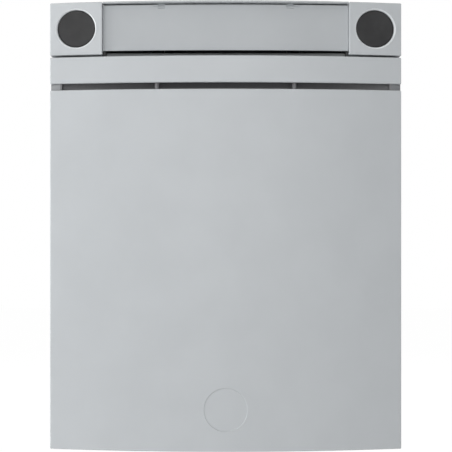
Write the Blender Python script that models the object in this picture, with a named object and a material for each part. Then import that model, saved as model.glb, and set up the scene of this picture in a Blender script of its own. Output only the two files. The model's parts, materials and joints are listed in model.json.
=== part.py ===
"""Wall battery unit.

A sheet-metal case hangs on a wall rail and holds two rows of cell modules. Its front is bowed: a large
clip-on cover, a vent slot, a narrow fascia, and above it a hinged service flap between two plug-in
connector blocks, each with a round release button.

Units are metres and +Z is up. The unit is used from the -Y side. The wall is the plane y = 0, and the
origin is the middle of the wall rail's back face.
"""

import math

import bmesh
import bpy
from mathutils import Matrix, Vector

# --- Overall sizes -------------------------------------------------------------------------------
CASE_WIDTH = 0.390
CASE_HEIGHT = 0.4945
CASE_DEPTH = 0.174  # back of the case to the middle of the bowed front
FRONT_BULGE = 0.018  # the middle of the front stands this far ahead of its side edges
RAIL_BELOW_TOP = 0.097  # top of the case down to the middle of the wall rail
WALL_STANDOFF = 0.014  # wall to the back of the case

# --- Walls and clearances ------------------------------------------------------------------------
SHEET = 0.0025  # case walls and deck
LID_SHEET = 0.0018  # top cover, also the lip over the flap
MOULDING = 0.003  # front cover, fascia and flap
SEAT_GAP = 0.0003  # between pieces that rest on each other
PIN_PLAY = 0.0003  # around a pin in its hole
EDGE_ROUND = 0.0012  # outer edges of the front pieces
HOUSING_EDGE_ROUND = 0.0008
BOW_STEP = 0.0125  # longest facet of a bowed face

# --- Front, from the top down --------------------------------------------------------------------
CONNECTOR_WIDTH = 0.0592
CONNECTOR_HEIGHT = 0.0581
CONNECTOR_DEPTH = 0.052  # side edge of the front to the back of the pocket
HEAD_JOINT = 0.0022  # open joint between connector blocks and fascia
FASCIA_HEIGHT = 0.0294
VENT_SLOT = 0.0071
FLANGE_WIDTH = 0.011
FLANGE_SETBACK = 0.006  # case flange behind the side edge of the front

# --- Air slots, vent panel and gasket ------------------------------------------------------------
FLOOR_VENTS = 9
FLOOR_VENT_PITCH = 0.022
FLOOR_VENT_LENGTH = 0.050
FLOOR_VENT_WIDTH = 0.003
PANEL_OVERLAP = 0.016  # vent panel behind the cover's top edge
PANEL_SLOTS = 12
PANEL_SLOT_LENGTH = 0.022
PANEL_SLOT_WIDTH = 0.004
PANEL_SLOT_MARGIN = 0.012
PANEL_ROWS = (0.35, 0.7)  # heights of the two rows of slots, as shares of the fascia's
GASKET_WIDTH = 0.006
GASKET_THICKNESS = 0.003
GASKET_CLEARANCE = 0.0015  # to the cover's walls

# --- Slot ribs, badge seat, cover studs ----------------------------------------------------------
RIB_X = 0.0756
RIB_WIDTH = 0.0036
RIB_SETBACK = 0.004  # ribs behind the bowed front
RIB_IN_FASCIA = 0.004  # ribs up into the hollow of the fascia
BADGE_RADIUS = 0.024
BADGE_HEIGHT = 0.046  # its middle above the bottom of the case
BADGE_DEPTH = 0.0008
STUD_RADIUS = 0.003
STUD_LENGTH = 0.014
STUD_INSET = 0.018  # from the side of the case
STUD_END = 0.050  # from the top and bottom edges of the cover
CLIP_HEIGHT = 0.018
CLIP_DEPTH = 0.014
CLIP_WIDTH = 0.0135

# --- Flap ----------------------------------------------------------------------------------------
FLAP_SETBACK = 0.008  # flap behind the front, in the middle
FLAP_BULGE = 0.006
FLAP_SIDE_GAP = 0.0001
FLAP_TOP_GAP = 0.0014
FINGER_GAP = 0.0068
FLAP_EDGE_ROUND = 0.0008
HINGE_X = 0.071
HINGE_DROP = 0.0025  # axis below the flap's top edge
KNUCKLE_RADIUS = 0.0015
KNUCKLE_LENGTH = 0.006
BRACKET_WIDTH = 0.0076
BRACKET_DEPTH = 0.009
HINGE_PIN_RADIUS = 0.0007
NOTCH_BELOW_AXIS = 0.002
FLAP_STOP_GAP = 0.0006
REST_HEIGHT = 0.0062  # rail on the deck's front edge that closes the view under the flap
REST_THICKNESS = 0.002
REST_END_GAP = 0.004

# --- Connector blocks and buttons ----------------------------------------------------------------
BLOCK_FRONT_WALL = 0.004
BLOCK_EDGE_ROUND = 0.001
BORE_RADIUS = 0.0207
BORE_CHAMFER = 0.0012
BUTTON_PLAY = 0.0004
BUTTON_RECESS = 0.002
BUTTON_THICKNESS = 0.006
BUTTON_DOME = 0.0012
STEM_RADIUS = 0.004
STEM_HEAD_RADIUS = 0.0055
STEM_HEAD_CHAMFER = 0.001
SPRING_LENGTH = 0.010
SPRING_RADIUS = 0.0075
SPRING_WIRE = 0.0007
SPRING_TURNS = 3.5
BARREL_WALL = 0.0025
CORE_DEPTH = 0.0265
CONTACT_RADIUS = 0.003
CONTACT_SPREAD = 0.011
CONTACT_IN_CORE = 0.021
CONTACT_REACH = 0.020  # past the back of the block, into the socket
SOCKET_HALF_WIDTH = 0.0177
SOCKET_HALF_HEIGHT = 0.0117
SOCKET_DEPTH = 0.0275
SOCKET_COLLAR = 0.0033

# --- Wall hanging --------------------------------------------------------------------------------
WALL_RAIL_WIDTH = 0.300
WALL_RAIL_HEIGHT = 0.058
WALL_RAIL_SHEET = 0.003
CLEAT_REACH = 0.009  # wall to the front of the rail's lip
CLEAT_LIP = 0.012  # lip above the rail's plate
HANGER_WIDTH = 0.280
HANGER_SHEET = 0.0025
HANGER_FLANGE = 0.0318
SCREW_SLOT_LENGTH = 0.014
SCREW_SLOT_WIDTH = 0.0065
SCREW_SLOT_XS = (-0.110, -0.045, 0.045, 0.110)
PAD_RADIUS = 0.016
PAD_INSET = 0.050  # from the side and from the bottom of the case

# --- Cells and electronics -----------------------------------------------------------------------
ROWS = 2
MODULES_PER_ROW = 4
MODULE_GAP = 0.0004
MODULE_EDGE = 0.002
ROW_SIDE_ROOM = 0.025  # case wall to end plate
END_PLATE = 0.006
MODULE_BACK_ROOM = 0.004
MODULE_FRONT_ROOM = 0.016
CELL_TRAY_HEIGHT = 0.009
ROW_SPACER = 0.006
TERMINAL_SIZE = 0.012
TERMINAL_HEIGHT = 0.003
CONTACT_PLATE = 0.003
CONTACT_PLATE_MARGIN = 0.006
STRAP_SHEET = 0.001
STRAP_WIDTH = 0.019
ELECTRONICS_ROOM = 0.0636  # electronics tray's underside to the deck's underside
TRAY_SHEET = 0.002
BOARD_WIDTH = 0.150
BOARD_DEPTH = 0.090
BOARD_SHEET = 0.0016
STANDOFF_HEIGHT = 0.008
STANDOFF_RADIUS = 0.003
STANDOFF_INSET = 0.008  # from the board's edges
CHIP_HEIGHT = 0.004
SIDE_DEVICE_GAP = 0.042  # board's edge to the middle of the contactor or the fuse
CONTACTOR_SIZE = (0.050, 0.045, 0.044)
CONTACTOR_EDGE = 0.002
FUSE_RADIUS = 0.011
FUSE_LENGTH = 0.056
FUSE_CAP_RADIUS = 0.009
FUSE_CAP_LENGTH = 0.012
CABLE_RADIUS = 0.004
CABLE_END_GAP = 0.0006
CABLE_LEAD = 0.002  # straight run at each end of a cable

# --- Wiring bay ----------------------------------------------------------------------------------
TERMINAL_BLOCK = (0.070, 0.018, 0.022)
TERMINAL_POLES = 6
TERMINAL_PITCH = 0.011
TERMINAL_HOLE_RADIUS = 0.0025
TERMINAL_HOLE_DEPTH = 0.010
TERMINAL_HOLE_HEIGHT = 0.008
DATA_SOCKET = (0.017, 0.021, 0.0145)
DATA_SOCKET_X = 0.0785
DATA_WALL = 0.0025
DATA_MOUTH_DEPTH = 0.015

# --- Places worked out from the sizes ------------------------------------------------------------
HALF_WIDTH = CASE_WIDTH / 2
TOP = RAIL_BELOW_TOP
BOTTOM = TOP - CASE_HEIGHT
BLOCK_BOTTOM = TOP - CONNECTOR_HEIGHT
FASCIA_TOP = BLOCK_BOTTOM - HEAD_JOINT
FASCIA_BOTTOM = FASCIA_TOP - FASCIA_HEIGHT
COVER_TOP = FASCIA_BOTTOM - VENT_SLOT
LID_UNDER = TOP - LID_SHEET

BACK_Y = -WALL_STANDOFF
APEX_Y = BACK_Y - CASE_DEPTH
SIDE_EDGE_Y = APEX_Y + FRONT_BULGE
FLANGE_Y = SIDE_EDGE_Y + FLANGE_SETBACK
PANEL_BACK_Y = FLANGE_Y - SEAT_GAP  # where the front pieces end, just clear of the flange
POCKET_Y = SIDE_EDGE_Y + CONNECTOR_DEPTH

INNER_X = HALF_WIDTH - SHEET
BLOCK_INNER_X = HALF_WIDTH - CONNECTOR_WIDTH
BLOCK_MID_X = HALF_WIDTH - CONNECTOR_WIDTH / 2
BLOCK_MID_Z = (BLOCK_BOTTOM + TOP) / 2

FLAP_HALF = BLOCK_INNER_X - FLAP_SIDE_GAP
FLAP_TOP = LID_UNDER - FLAP_TOP_GAP
FLAP_BOTTOM = FASCIA_TOP + FINGER_GAP
HINGE_Z = FLAP_TOP - HINGE_DROP

DECK_FRONT_Y = FLANGE_Y + SHEET + SEAT_GAP
DECK_TOP = FASCIA_TOP
DECK_UNDER = DECK_TOP - SHEET

BARREL_DEPTH = BUTTON_RECESS + BUTTON_THICKNESS + SPRING_LENGTH + 2 * SEAT_GAP


def bow_radius(half_width, bulge):
    """Radius of an arc that rises by bulge over half_width."""
    return (half_width**2 + bulge**2) / (2 * bulge)


FRONT_RADIUS = bow_radius(HALF_WIDTH, FRONT_BULGE)
FLAP_RADIUS = bow_radius(FLAP_HALF, FLAP_BULGE)


def front_y(x, inset=0.0):
    """Y of the bowed front at x, or of a face that lies inset behind it."""
    return APEX_Y + FRONT_RADIUS - math.sqrt((FRONT_RADIUS - inset) ** 2 - x**2)


def flap_y(x, inset=0.0):
    """Y of the flap's bowed front at x, or of a face that lies inset behind it."""
    apex = APEX_Y + FLAP_SETBACK
    return apex + FLAP_RADIUS - math.sqrt((FLAP_RADIUS - inset) ** 2 - x**2)


HINGE_Y = flap_y(HINGE_X) + KNUCKLE_RADIUS


# --- Materials -----------------------------------------------------------------------------------
def principled(name, colour, roughness, metallic=0.0):
    material = bpy.data.materials.new(name)
    material.use_nodes = True
    shader = material.node_tree.nodes["Principled BSDF"]
    shader.inputs["Base Color"].default_value = (*colour, 1.0)
    shader.inputs["Roughness"].default_value = roughness
    shader.inputs["Metallic"].default_value = metallic
    return material


def make_materials():
    return {
        "case_paint": principled("case_paint", (0.55, 0.58, 0.60), 0.45),
        "front_plastic": principled("front_plastic", (0.53, 0.56, 0.58), 0.40),
        "dark_plastic": principled("dark_plastic", (0.045, 0.045, 0.047), 0.45),
        "button_plastic": principled("button_plastic", (0.07, 0.07, 0.072), 0.38),
        "rubber": principled("rubber", (0.02, 0.02, 0.02), 0.8),
        "galvanised": principled("galvanised", (0.60, 0.61, 0.62), 0.42, 1.0),
        "spring_steel": principled("spring_steel", (0.45, 0.45, 0.46), 0.3, 1.0),
        "brass": principled("brass", (0.70, 0.52, 0.24), 0.3, 1.0),
        "module_wrap": principled("module_wrap", (0.06, 0.12, 0.30), 0.5),
        "board_green": principled("board_green", (0.03, 0.16, 0.07), 0.4),
        "cable_red": principled("cable_red", (0.45, 0.03, 0.02), 0.5),
        "cable_black": principled("cable_black", (0.02, 0.02, 0.022), 0.5),
    }


# --- Object and mesh helpers ---------------------------------------------------------------------
def make_object(name, bm, material=None, smooth=False):
    """Turns a bmesh into an object whose faces point out."""
    bmesh.ops.recalc_face_normals(bm, faces=bm.faces)
    mesh = bpy.data.meshes.new(name)
    bm.to_mesh(mesh)
    bm.free()
    if smooth:
        mesh.shade_smooth()
        mesh.set_sharp_from_angle(angle=math.radians(35))
    if material:
        mesh.materials.append(material)
    obj = bpy.data.objects.new(name, mesh)
    bpy.context.scene.collection.objects.link(obj)
    return obj


def joint_empty(name, place, parent=None):
    """An empty on a joint's axis, for the moving pieces to hang on."""
    empty = bpy.data.objects.new(name, None)
    empty.empty_display_size = 0.02
    bpy.context.scene.collection.objects.link(empty)
    empty.location = place
    if parent:
        hang_on(empty, parent)
    return empty


def hang_on(obj, parent):
    """Parents obj without moving it."""
    bpy.context.view_layer.update()
    obj.parent = parent
    obj.matrix_parent_inverse = parent.matrix_world.inverted()


def boolean(target, tool, operation):
    modifier = target.modifiers.new(tool.name, "BOOLEAN")
    modifier.object = tool
    modifier.operation = operation
    tool.hide_render = True
    tool.display_type = "WIRE"


def cut(target, tool):
    boolean(target, tool, "DIFFERENCE")


def fuse(target, tool):
    boolean(target, tool, "UNION")


def round_edges(obj, width=EDGE_ROUND, segments=2):
    bevel = obj.modifiers.new("edges", "BEVEL")
    bevel.width = width
    bevel.segments = segments
    bevel.limit_method = "ANGLE"
    bevel.angle_limit = math.radians(40)
    bevel.use_clamp_overlap = True


def add_box(bm, low, high):
    low, high = Vector(low), Vector(high)
    place = Matrix.Translation((low + high) / 2) @ Matrix.Diagonal((*(high - low), 1.0))
    bmesh.ops.create_cube(bm, size=1.0, matrix=place)


def boxes(name, corner_pairs, material=None):
    """One object of boxes that don't touch, or a single box."""
    bm = bmesh.new()
    for low, high in corner_pairs:
        add_box(bm, low, high)
    return make_object(name, bm, material)


def add_prism(bm, outline, direction, start, end):
    """Sweeps a closed 2-D outline along x, y or z, from start to end."""
    place = {
        "x": lambda a, b, t: (t, a, b),
        "y": lambda a, b, t: (a, t, b),
        "z": lambda a, b, t: (a, b, t),
    }[direction]
    near = [bm.verts.new(place(a, b, start)) for a, b in outline]
    far = [bm.verts.new(place(a, b, end)) for a, b in outline]
    bm.faces.new(near)
    bm.faces.new(reversed(far))
    for i, vert in enumerate(near):
        j = (i + 1) % len(near)
        bm.faces.new((vert, far[i], far[j], near[j]))


def prism(name, outline, direction, start, end, material=None):
    bm = bmesh.new()
    add_prism(bm, outline, direction, start, end)
    return make_object(name, bm, material)


def bowed_outline(x_low, x_high, face, back):
    """Plan of a block whose front follows face(x) and whose back is the line y = back."""
    steps = max(3, math.ceil((x_high - x_low) / BOW_STEP))
    xs = [x_low + (x_high - x_low) * i / steps for i in range(steps + 1)]
    return [(x, face(x)) for x in xs] + [(x_high, back), (x_low, back)]


def bowed_block(name, x_range, z_range, face, back, material=None):
    return prism(name, bowed_outline(*x_range, face, back), "z", *z_range, material)


def facing(direction, place):
    """A frame at place whose own +Z points along direction."""
    turn = Vector(direction).to_track_quat("Z", "Y").to_matrix().to_4x4()
    return Matrix.Translation(place) @ turn


def add_turned(bm, profile, frame, segments=32):
    """Turns (radius, height) points about the frame's own Z. A radius of 0 closes on the axis."""
    rings = []
    for radius, height in profile:
        if radius == 0:
            rings.append([bm.verts.new(frame @ Vector((0, 0, height)))])
            continue
        ring = []
        for i in range(segments):
            angle = 2 * math.pi * i / segments
            point = Vector((radius * math.cos(angle), radius * math.sin(angle), height))
            ring.append(bm.verts.new(frame @ point))
        rings.append(ring)
    for lower, upper in zip(rings, rings[1:]):
        for i in range(segments):
            j = (i + 1) % segments
            if len(lower) == 1:
                bm.faces.new((lower[0], upper[i], upper[j]))
            elif len(upper) == 1:
                bm.faces.new((lower[i], lower[j], upper[0]))
            else:
                bm.faces.new((lower[i], lower[j], upper[j], upper[i]))


def turned(name, profile, frame, material=None, segments=32):
    bm = bmesh.new()
    add_turned(bm, profile, frame, segments)
    return make_object(name, bm, material, smooth=True)


def rod_profile(radius, low, high):
    return [(0, low), (radius, low), (radius, high), (0, high)]


def rods(name, radius, ends, material=None, segments=16):
    """One object of straight rods that don't touch, each from one point to another."""
    bm = bmesh.new()
    for start, end in ends:
        start, end = Vector(start), Vector(end)
        length = (end - start).length
        add_turned(bm, rod_profile(radius, 0.0, length), facing(end - start, start), segments)
    return make_object(name, bm, material, smooth=True)


def slot_outline(mid_a, mid_b, length, width, steps=6):
    """A slot with round ends, long in its first direction."""
    reach = (length - width) / 2
    points = []
    for side in (1, -1):
        for i in range(steps + 1):
            angle = math.pi * i / steps - math.pi / 2
            a = mid_a + side * (reach + width / 2 * math.cos(angle))
            b = mid_b + side * width / 2 * math.sin(angle)
            points.append((a, b))
    return points


def add_coil(bm, frame, radius, wire, length, turns, per_turn=14, sides=6):
    """A round wire wound about the frame's own Z."""
    count = round(turns * per_turn)
    rise = (length - 2 * wire) / count
    rings = []
    for i in range(count + 1):
        angle = 2 * math.pi * i / per_turn
        out = Vector((math.cos(angle), math.sin(angle), 0))
        middle = out * radius + Vector((0, 0, wire + rise * i))
        ring = []
        for k in range(sides):
            turn = 2 * math.pi * k / sides
            point = middle + out * wire * math.cos(turn) + Vector((0, 0, wire * math.sin(turn)))
            ring.append(bm.verts.new(frame @ point))
        rings.append(ring)
    for lower, upper in zip(rings, rings[1:]):
        for k in range(sides):
            m = (k + 1) % sides
            bm.faces.new((lower[k], lower[m], upper[m], upper[k]))
    bm.faces.new(rings[0])
    bm.faces.new(reversed(rings[-1]))


def side_name(side):
    return "left" if side < 0 else "right"


def span(side, inner, outer):
    """The two x values inner and outer on one side, lowest first."""
    return tuple(sorted((side * inner, side * outer)))


# --- Case ----------------------------------------------------------------------------------------
def build_housing(mats):
    """Tub of folded sheet: back, floor and side walls, with a flange round the open front."""
    housing = boxes(
        "rear_housing",
        [((-HALF_WIDTH, FLANGE_Y, BOTTOM), (HALF_WIDTH, BACK_Y, LID_UNDER - SEAT_GAP))],
        mats["case_paint"],
    )
    round_edges(housing, width=HOUSING_EDGE_ROUND)
    above = TOP + SHEET
    hollow = boxes(
        "housing_hollow",
        [((-INNER_X, FLANGE_Y + SHEET, BOTTOM + SHEET), (INNER_X, BACK_Y - SHEET, above))],
    )
    cut(housing, hollow)
    mouth_x = HALF_WIDTH - FLANGE_WIDTH
    ahead = FLANGE_Y - SHEET
    mouth = boxes(
        "housing_mouth",
        [((-mouth_x, ahead, BOTTOM + FLANGE_WIDTH), (mouth_x, POCKET_Y, above))],
    )
    cut(housing, mouth)
    outside = HALF_WIDTH + SHEET
    corners = boxes(
        "housing_corners",
        [((-outside, ahead, FASCIA_TOP - SEAT_GAP), (outside, POCKET_Y, above))],
    )
    cut(housing, corners)
    vents = bmesh.new()
    middle_y = (BACK_Y + FLANGE_Y) / 2
    for i in range(FLOOR_VENTS):
        x = (i - (FLOOR_VENTS - 1) / 2) * FLOOR_VENT_PITCH
        slot = slot_outline(0.0, 0.0, FLOOR_VENT_LENGTH, FLOOR_VENT_WIDTH)
        outline = [(x + b, middle_y + a) for a, b in slot]
        add_prism(vents, outline, "z", BOTTOM - SHEET, BOTTOM + 2 * SHEET)
    cut(housing, make_object("housing_vents", vents))


def build_top_cover(mats):
    """Lid plate whose middle reaches forward as the lip over the flap."""
    lid = boxes(
        "top_cover",
        [((-HALF_WIDTH, POCKET_Y + SEAT_GAP, LID_UNDER), (HALF_WIDTH, BACK_Y, TOP))],
        mats["case_paint"],
    )
    lip = bowed_block(
        "top_lip", (-FLAP_HALF, FLAP_HALF), (LID_UNDER, TOP), front_y, POCKET_Y + 2 * SHEET
    )
    fuse(lid, lip)


def build_deck(mats):
    """Floor, back wall and two partitions: the wiring bay and the two connector pockets."""
    wall_top = LID_UNDER - SEAT_GAP
    edge_x = INNER_X - SEAT_GAP
    deck = prism(
        "upper_deck",
        [
            (DECK_FRONT_Y, DECK_UNDER),
            (POCKET_Y + SHEET, DECK_UNDER),
            (POCKET_Y + SHEET, wall_top),
            (POCKET_Y, wall_top),
            (POCKET_Y, DECK_TOP),
            (DECK_FRONT_Y, DECK_TOP),
        ],
        "x",
        -edge_x,
        edge_x,
        mats["dark_plastic"],
    )
    stop_y = flap_y(FLAP_HALF, MOULDING) + FLAP_STOP_GAP
    under = DECK_TOP - SHEET / 2
    outline = [
        (POCKET_Y + SHEET / 2, under),
        (DECK_FRONT_Y + SHEET / 2, under),
        (DECK_FRONT_Y + SHEET / 2, DECK_TOP + SHEET / 2),
        (stop_y, DECK_TOP + SHEET / 2),
        (stop_y, wall_top),
        (POCKET_Y + SHEET / 2, wall_top - SHEET / 2),
    ]
    for side in (-1, 1):
        partition = prism(
            f"{side_name(side)}_partition", outline, "x", *span(side, FLAP_HALF - SHEET, FLAP_HALF)
        )
        fuse(deck, partition)
    windows = []
    for side in (-1, 1):
        x = side * BLOCK_MID_X
        reach_x = SOCKET_HALF_WIDTH + SEAT_GAP
        reach_z = SOCKET_HALF_HEIGHT + SEAT_GAP
        low = (x - reach_x, POCKET_Y - SHEET, BLOCK_MID_Z - reach_z)
        high = (x + reach_x, POCKET_Y + 2 * SHEET, BLOCK_MID_Z + reach_z)
        windows.append((low, high))
    cut(deck, boxes("deck_windows", windows))


def build_flap_rest(mats):
    """Straight rail that stands on the deck's front edge, behind the flap's bottom edge."""
    half = FLAP_HALF - SHEET - REST_END_GAP
    base = DECK_TOP + SEAT_GAP
    low = (-half, DECK_FRONT_Y, base)
    high = (half, DECK_FRONT_Y + REST_THICKNESS, base + REST_HEIGHT)
    boxes("flap_rest", [(low, high)], mats["front_plastic"])


def build_fascia(mats):
    """Bowed band over the vent slot, open below."""
    fascia = bowed_block(
        "upper_fascia",
        (-HALF_WIDTH, HALF_WIDTH),
        (FASCIA_BOTTOM, FASCIA_TOP),
        front_y,
        PANEL_BACK_Y,
        mats["front_plastic"],
    )
    round_edges(fascia)
    wall_x = HALF_WIDTH - MOULDING
    hollow = bowed_block(
        "fascia_hollow",
        (-wall_x, wall_x),
        (FASCIA_BOTTOM - SHEET, FASCIA_TOP - MOULDING),
        lambda x: front_y(x, MOULDING),
        PANEL_BACK_Y + SHEET,
    )
    cut(fascia, hollow)


def build_vent_panel(mats):
    """Dark panel between the flanges, behind the vent slot and the fascia, with two ribs in the slot."""
    half = HALF_WIDTH - FLANGE_WIDTH - SEAT_GAP
    low_edge = COVER_TOP - PANEL_OVERLAP
    panel = boxes(
        "vent_panel",
        [((-half, FLANGE_Y, low_edge), (half, FLANGE_Y + SHEET, FASCIA_TOP - SEAT_GAP))],
        mats["dark_plastic"],
    )
    slots = bmesh.new()
    pitch = 2 * (half - PANEL_SLOT_MARGIN) / PANEL_SLOTS
    for row in PANEL_ROWS:
        z = FASCIA_BOTTOM + FASCIA_HEIGHT * row
        for i in range(PANEL_SLOTS):
            x = (i - (PANEL_SLOTS - 1) / 2) * pitch
            outline = slot_outline(x, z, PANEL_SLOT_LENGTH, PANEL_SLOT_WIDTH, steps=3)
            add_prism(slots, outline, "y", FLANGE_Y - SHEET, FLANGE_Y + 2 * SHEET)
    cut(panel, make_object("panel_slots", slots))
    for side in (-1, 1):
        rib = bowed_block(
            f"{side_name(side)}_slot_rib",
            span(side, RIB_X - RIB_WIDTH / 2, RIB_X + RIB_WIDTH / 2),
            (COVER_TOP + SEAT_GAP, FASCIA_BOTTOM + RIB_IN_FASCIA),
            lambda x: front_y(x, RIB_SETBACK),
            FLANGE_Y + SHEET / 2,
        )
        fuse(panel, rib)


def stud_places():
    """X and z of the cover's four studs, with the names of their corners."""
    places = []
    for side in (-1, 1):
        for level, z in (("lower", BOTTOM + STUD_END), ("upper", COVER_TOP - STUD_END)):
            places.append((f"{side_name(side)}_{level}", side * (HALF_WIDTH - STUD_INSET), z))
    return places


def build_front_cover(mats):
    """Bowed shell that stands on the flange, with four studs for the clips and a blank badge seat."""
    cover = bowed_block(
        "front_cover",
        (-HALF_WIDTH, HALF_WIDTH),
        (BOTTOM, COVER_TOP),
        front_y,
        PANEL_BACK_Y,
        mats["front_plastic"],
    )
    round_edges(cover)
    wall_x = HALF_WIDTH - MOULDING
    hollow = bowed_block(
        "cover_hollow",
        (-wall_x, wall_x),
        (BOTTOM + MOULDING, COVER_TOP - MOULDING),
        lambda x: front_y(x, MOULDING),
        PANEL_BACK_Y + SHEET,
    )
    cut(cover, hollow)
    studs = []
    for _, x, z in stud_places():
        root = front_y(x, MOULDING / 2)
        studs.append(((x, root, z), (x, root + STUD_LENGTH, z)))
    fuse(cover, rods("cover_studs", STUD_RADIUS, studs))
    badge_z = BOTTOM + BADGE_HEIGHT
    profile = rod_profile(BADGE_RADIUS, -BADGE_DEPTH, MOULDING)
    cut(cover, turned("badge_seat", profile, facing((0, -1, 0), (0, APEX_Y, badge_z)), segments=48))
    hang_on(cover, joint_empty("cover_slide", (0, PANEL_BACK_Y, (BOTTOM + COVER_TOP) / 2)))


def build_gasket(mats):
    """Flat rubber ring on the flange and on the vent panel, inside the cover's walls."""
    outer_x = HALF_WIDTH - MOULDING - GASKET_CLEARANCE
    outer_low = BOTTOM + MOULDING + GASKET_CLEARANCE
    outer_high = COVER_TOP - MOULDING - GASKET_CLEARANCE
    front = PANEL_BACK_Y - GASKET_THICKNESS
    outer = ((-outer_x, front, outer_low), (outer_x, PANEL_BACK_Y, outer_high))
    gasket = boxes("cover_gasket", [outer], mats["rubber"])
    inner = boxes(
        "gasket_inside",
        [
            (
                (-outer_x + GASKET_WIDTH, front - SHEET, outer_low + GASKET_WIDTH),
                (outer_x - GASKET_WIDTH, PANEL_BACK_Y + SHEET, outer_high - GASKET_WIDTH),
            )
        ],
    )
    cut(gasket, inner)


def build_clips(mats):
    """Four spring clips on the flanges' inner edges, each gripping a stud of the cover."""
    outer = HALF_WIDTH - FLANGE_WIDTH - SEAT_GAP
    back = FLANGE_Y + CLIP_DEPTH - SHEET
    for corner, x, z in stud_places():
        side = 1 if x > 0 else -1
        x_low, x_high = span(side, outer - CLIP_WIDTH, outer)
        clip = boxes(
            f"{corner}_cover_clip",
            [((x_low, back - CLIP_DEPTH, z - CLIP_HEIGHT / 2), (x_high, back, z + CLIP_HEIGHT / 2))],
            mats["spring_steel"],
        )
        hole_start = (x, back - 2 * CLIP_DEPTH, z)
        cut(clip, rods(f"{corner}_clip_hole", STUD_RADIUS + PIN_PLAY, [(hole_start, (x, back + SHEET, z))]))


# --- Flap ----------------------------------------------------------------------------------------
def build_flap(mats):
    """Bowed flap with knuckles at its top edge, on two pins in brackets under the lip."""
    flap = bowed_block(
        "service_flap",
        (-FLAP_HALF, FLAP_HALF),
        (FLAP_BOTTOM, FLAP_TOP),
        flap_y,
        flap_y(FLAP_HALF) + 2 * MOULDING,
        mats["front_plastic"],
    )
    round_edges(flap, width=FLAP_EDGE_ROUND)
    behind = bowed_block(
        "flap_behind",
        (-FLAP_HALF - SHEET, FLAP_HALF + SHEET),
        (FLAP_BOTTOM - SHEET, FLAP_TOP + SHEET),
        lambda x: flap_y(x, MOULDING),
        flap_y(FLAP_HALF) + 4 * MOULDING,
    )
    cut(flap, behind)
    bracket_reach = BRACKET_WIDTH / 2 + SEAT_GAP
    notches = []
    knuckles = []
    holes = []
    for side in (-1, 1):
        middle = side * HINGE_X
        notches.append(
            (
                (middle - bracket_reach, APEX_Y, HINGE_Z - NOTCH_BELOW_AXIS),
                (middle + bracket_reach, HINGE_Y + BRACKET_DEPTH, FLAP_TOP + SHEET),
            )
        )
        for way in (-1, 1):
            inner = middle + way * bracket_reach
            outer = inner + way * KNUCKLE_LENGTH
            knuckles.append(((inner, HINGE_Y, HINGE_Z), (outer, HINGE_Y, HINGE_Z)))
        reach = bracket_reach + KNUCKLE_LENGTH + SHEET
        holes.append(((middle - reach, HINGE_Y, HINGE_Z), (middle + reach, HINGE_Y, HINGE_Z)))
    cut(flap, boxes("flap_notches", notches))
    fuse(flap, rods("flap_knuckles", KNUCKLE_RADIUS, knuckles))
    cut(flap, rods("flap_pin_holes", HINGE_PIN_RADIUS + PIN_PLAY, holes))
    hang_on(flap, joint_empty("flap_axis", (0, HINGE_Y, HINGE_Z)))
    for side in (-1, 1):
        build_hinge(side, mats)


def build_hinge(side, mats):
    """The bracket that hangs from the lip, and the pin through it."""
    middle = side * HINGE_X
    half = BRACKET_WIDTH / 2
    top = LID_UNDER - SEAT_GAP
    outline = [(HINGE_Y + BRACKET_DEPTH, top), (HINGE_Y - KNUCKLE_RADIUS, top)]
    steps = 6
    for i in range(steps + 1):
        angle = math.pi + math.pi / 2 * i / steps
        y = HINGE_Y + KNUCKLE_RADIUS * math.cos(angle)
        z = HINGE_Z + KNUCKLE_RADIUS * math.sin(angle)
        outline.append((y, z))
    outline.append((HINGE_Y + BRACKET_DEPTH, HINGE_Z - KNUCKLE_RADIUS))
    name = side_name(side)
    bracket = prism(
        f"{name}_hinge_bracket", outline, "x", middle - half, middle + half, mats["dark_plastic"]
    )
    hole_reach = half + SHEET
    hole = ((middle - hole_reach, HINGE_Y, HINGE_Z), (middle + hole_reach, HINGE_Y, HINGE_Z))
    cut(bracket, rods(f"{name}_bracket_hole", HINGE_PIN_RADIUS + PIN_PLAY, [hole]))
    reach = half + SEAT_GAP + KNUCKLE_LENGTH - 2 * SEAT_GAP
    ends = ((middle - reach, HINGE_Y, HINGE_Z), (middle + reach, HINGE_Y, HINGE_Z))
    rods(f"{name}_hinge_pin", HINGE_PIN_RADIUS, [ends], mats["spring_steel"], segments=12)


# --- Connector blocks ----------------------------------------------------------------------------
def bore_frame(side):
    """Frame on the front at a block's middle, with +Z square out of the bowed face."""
    x = side * BLOCK_MID_X
    outward = (x / FRONT_RADIUS, -math.sqrt(1 - (x / FRONT_RADIUS) ** 2), 0)
    return facing(outward, (x, front_y(x), BLOCK_MID_Z))


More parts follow.
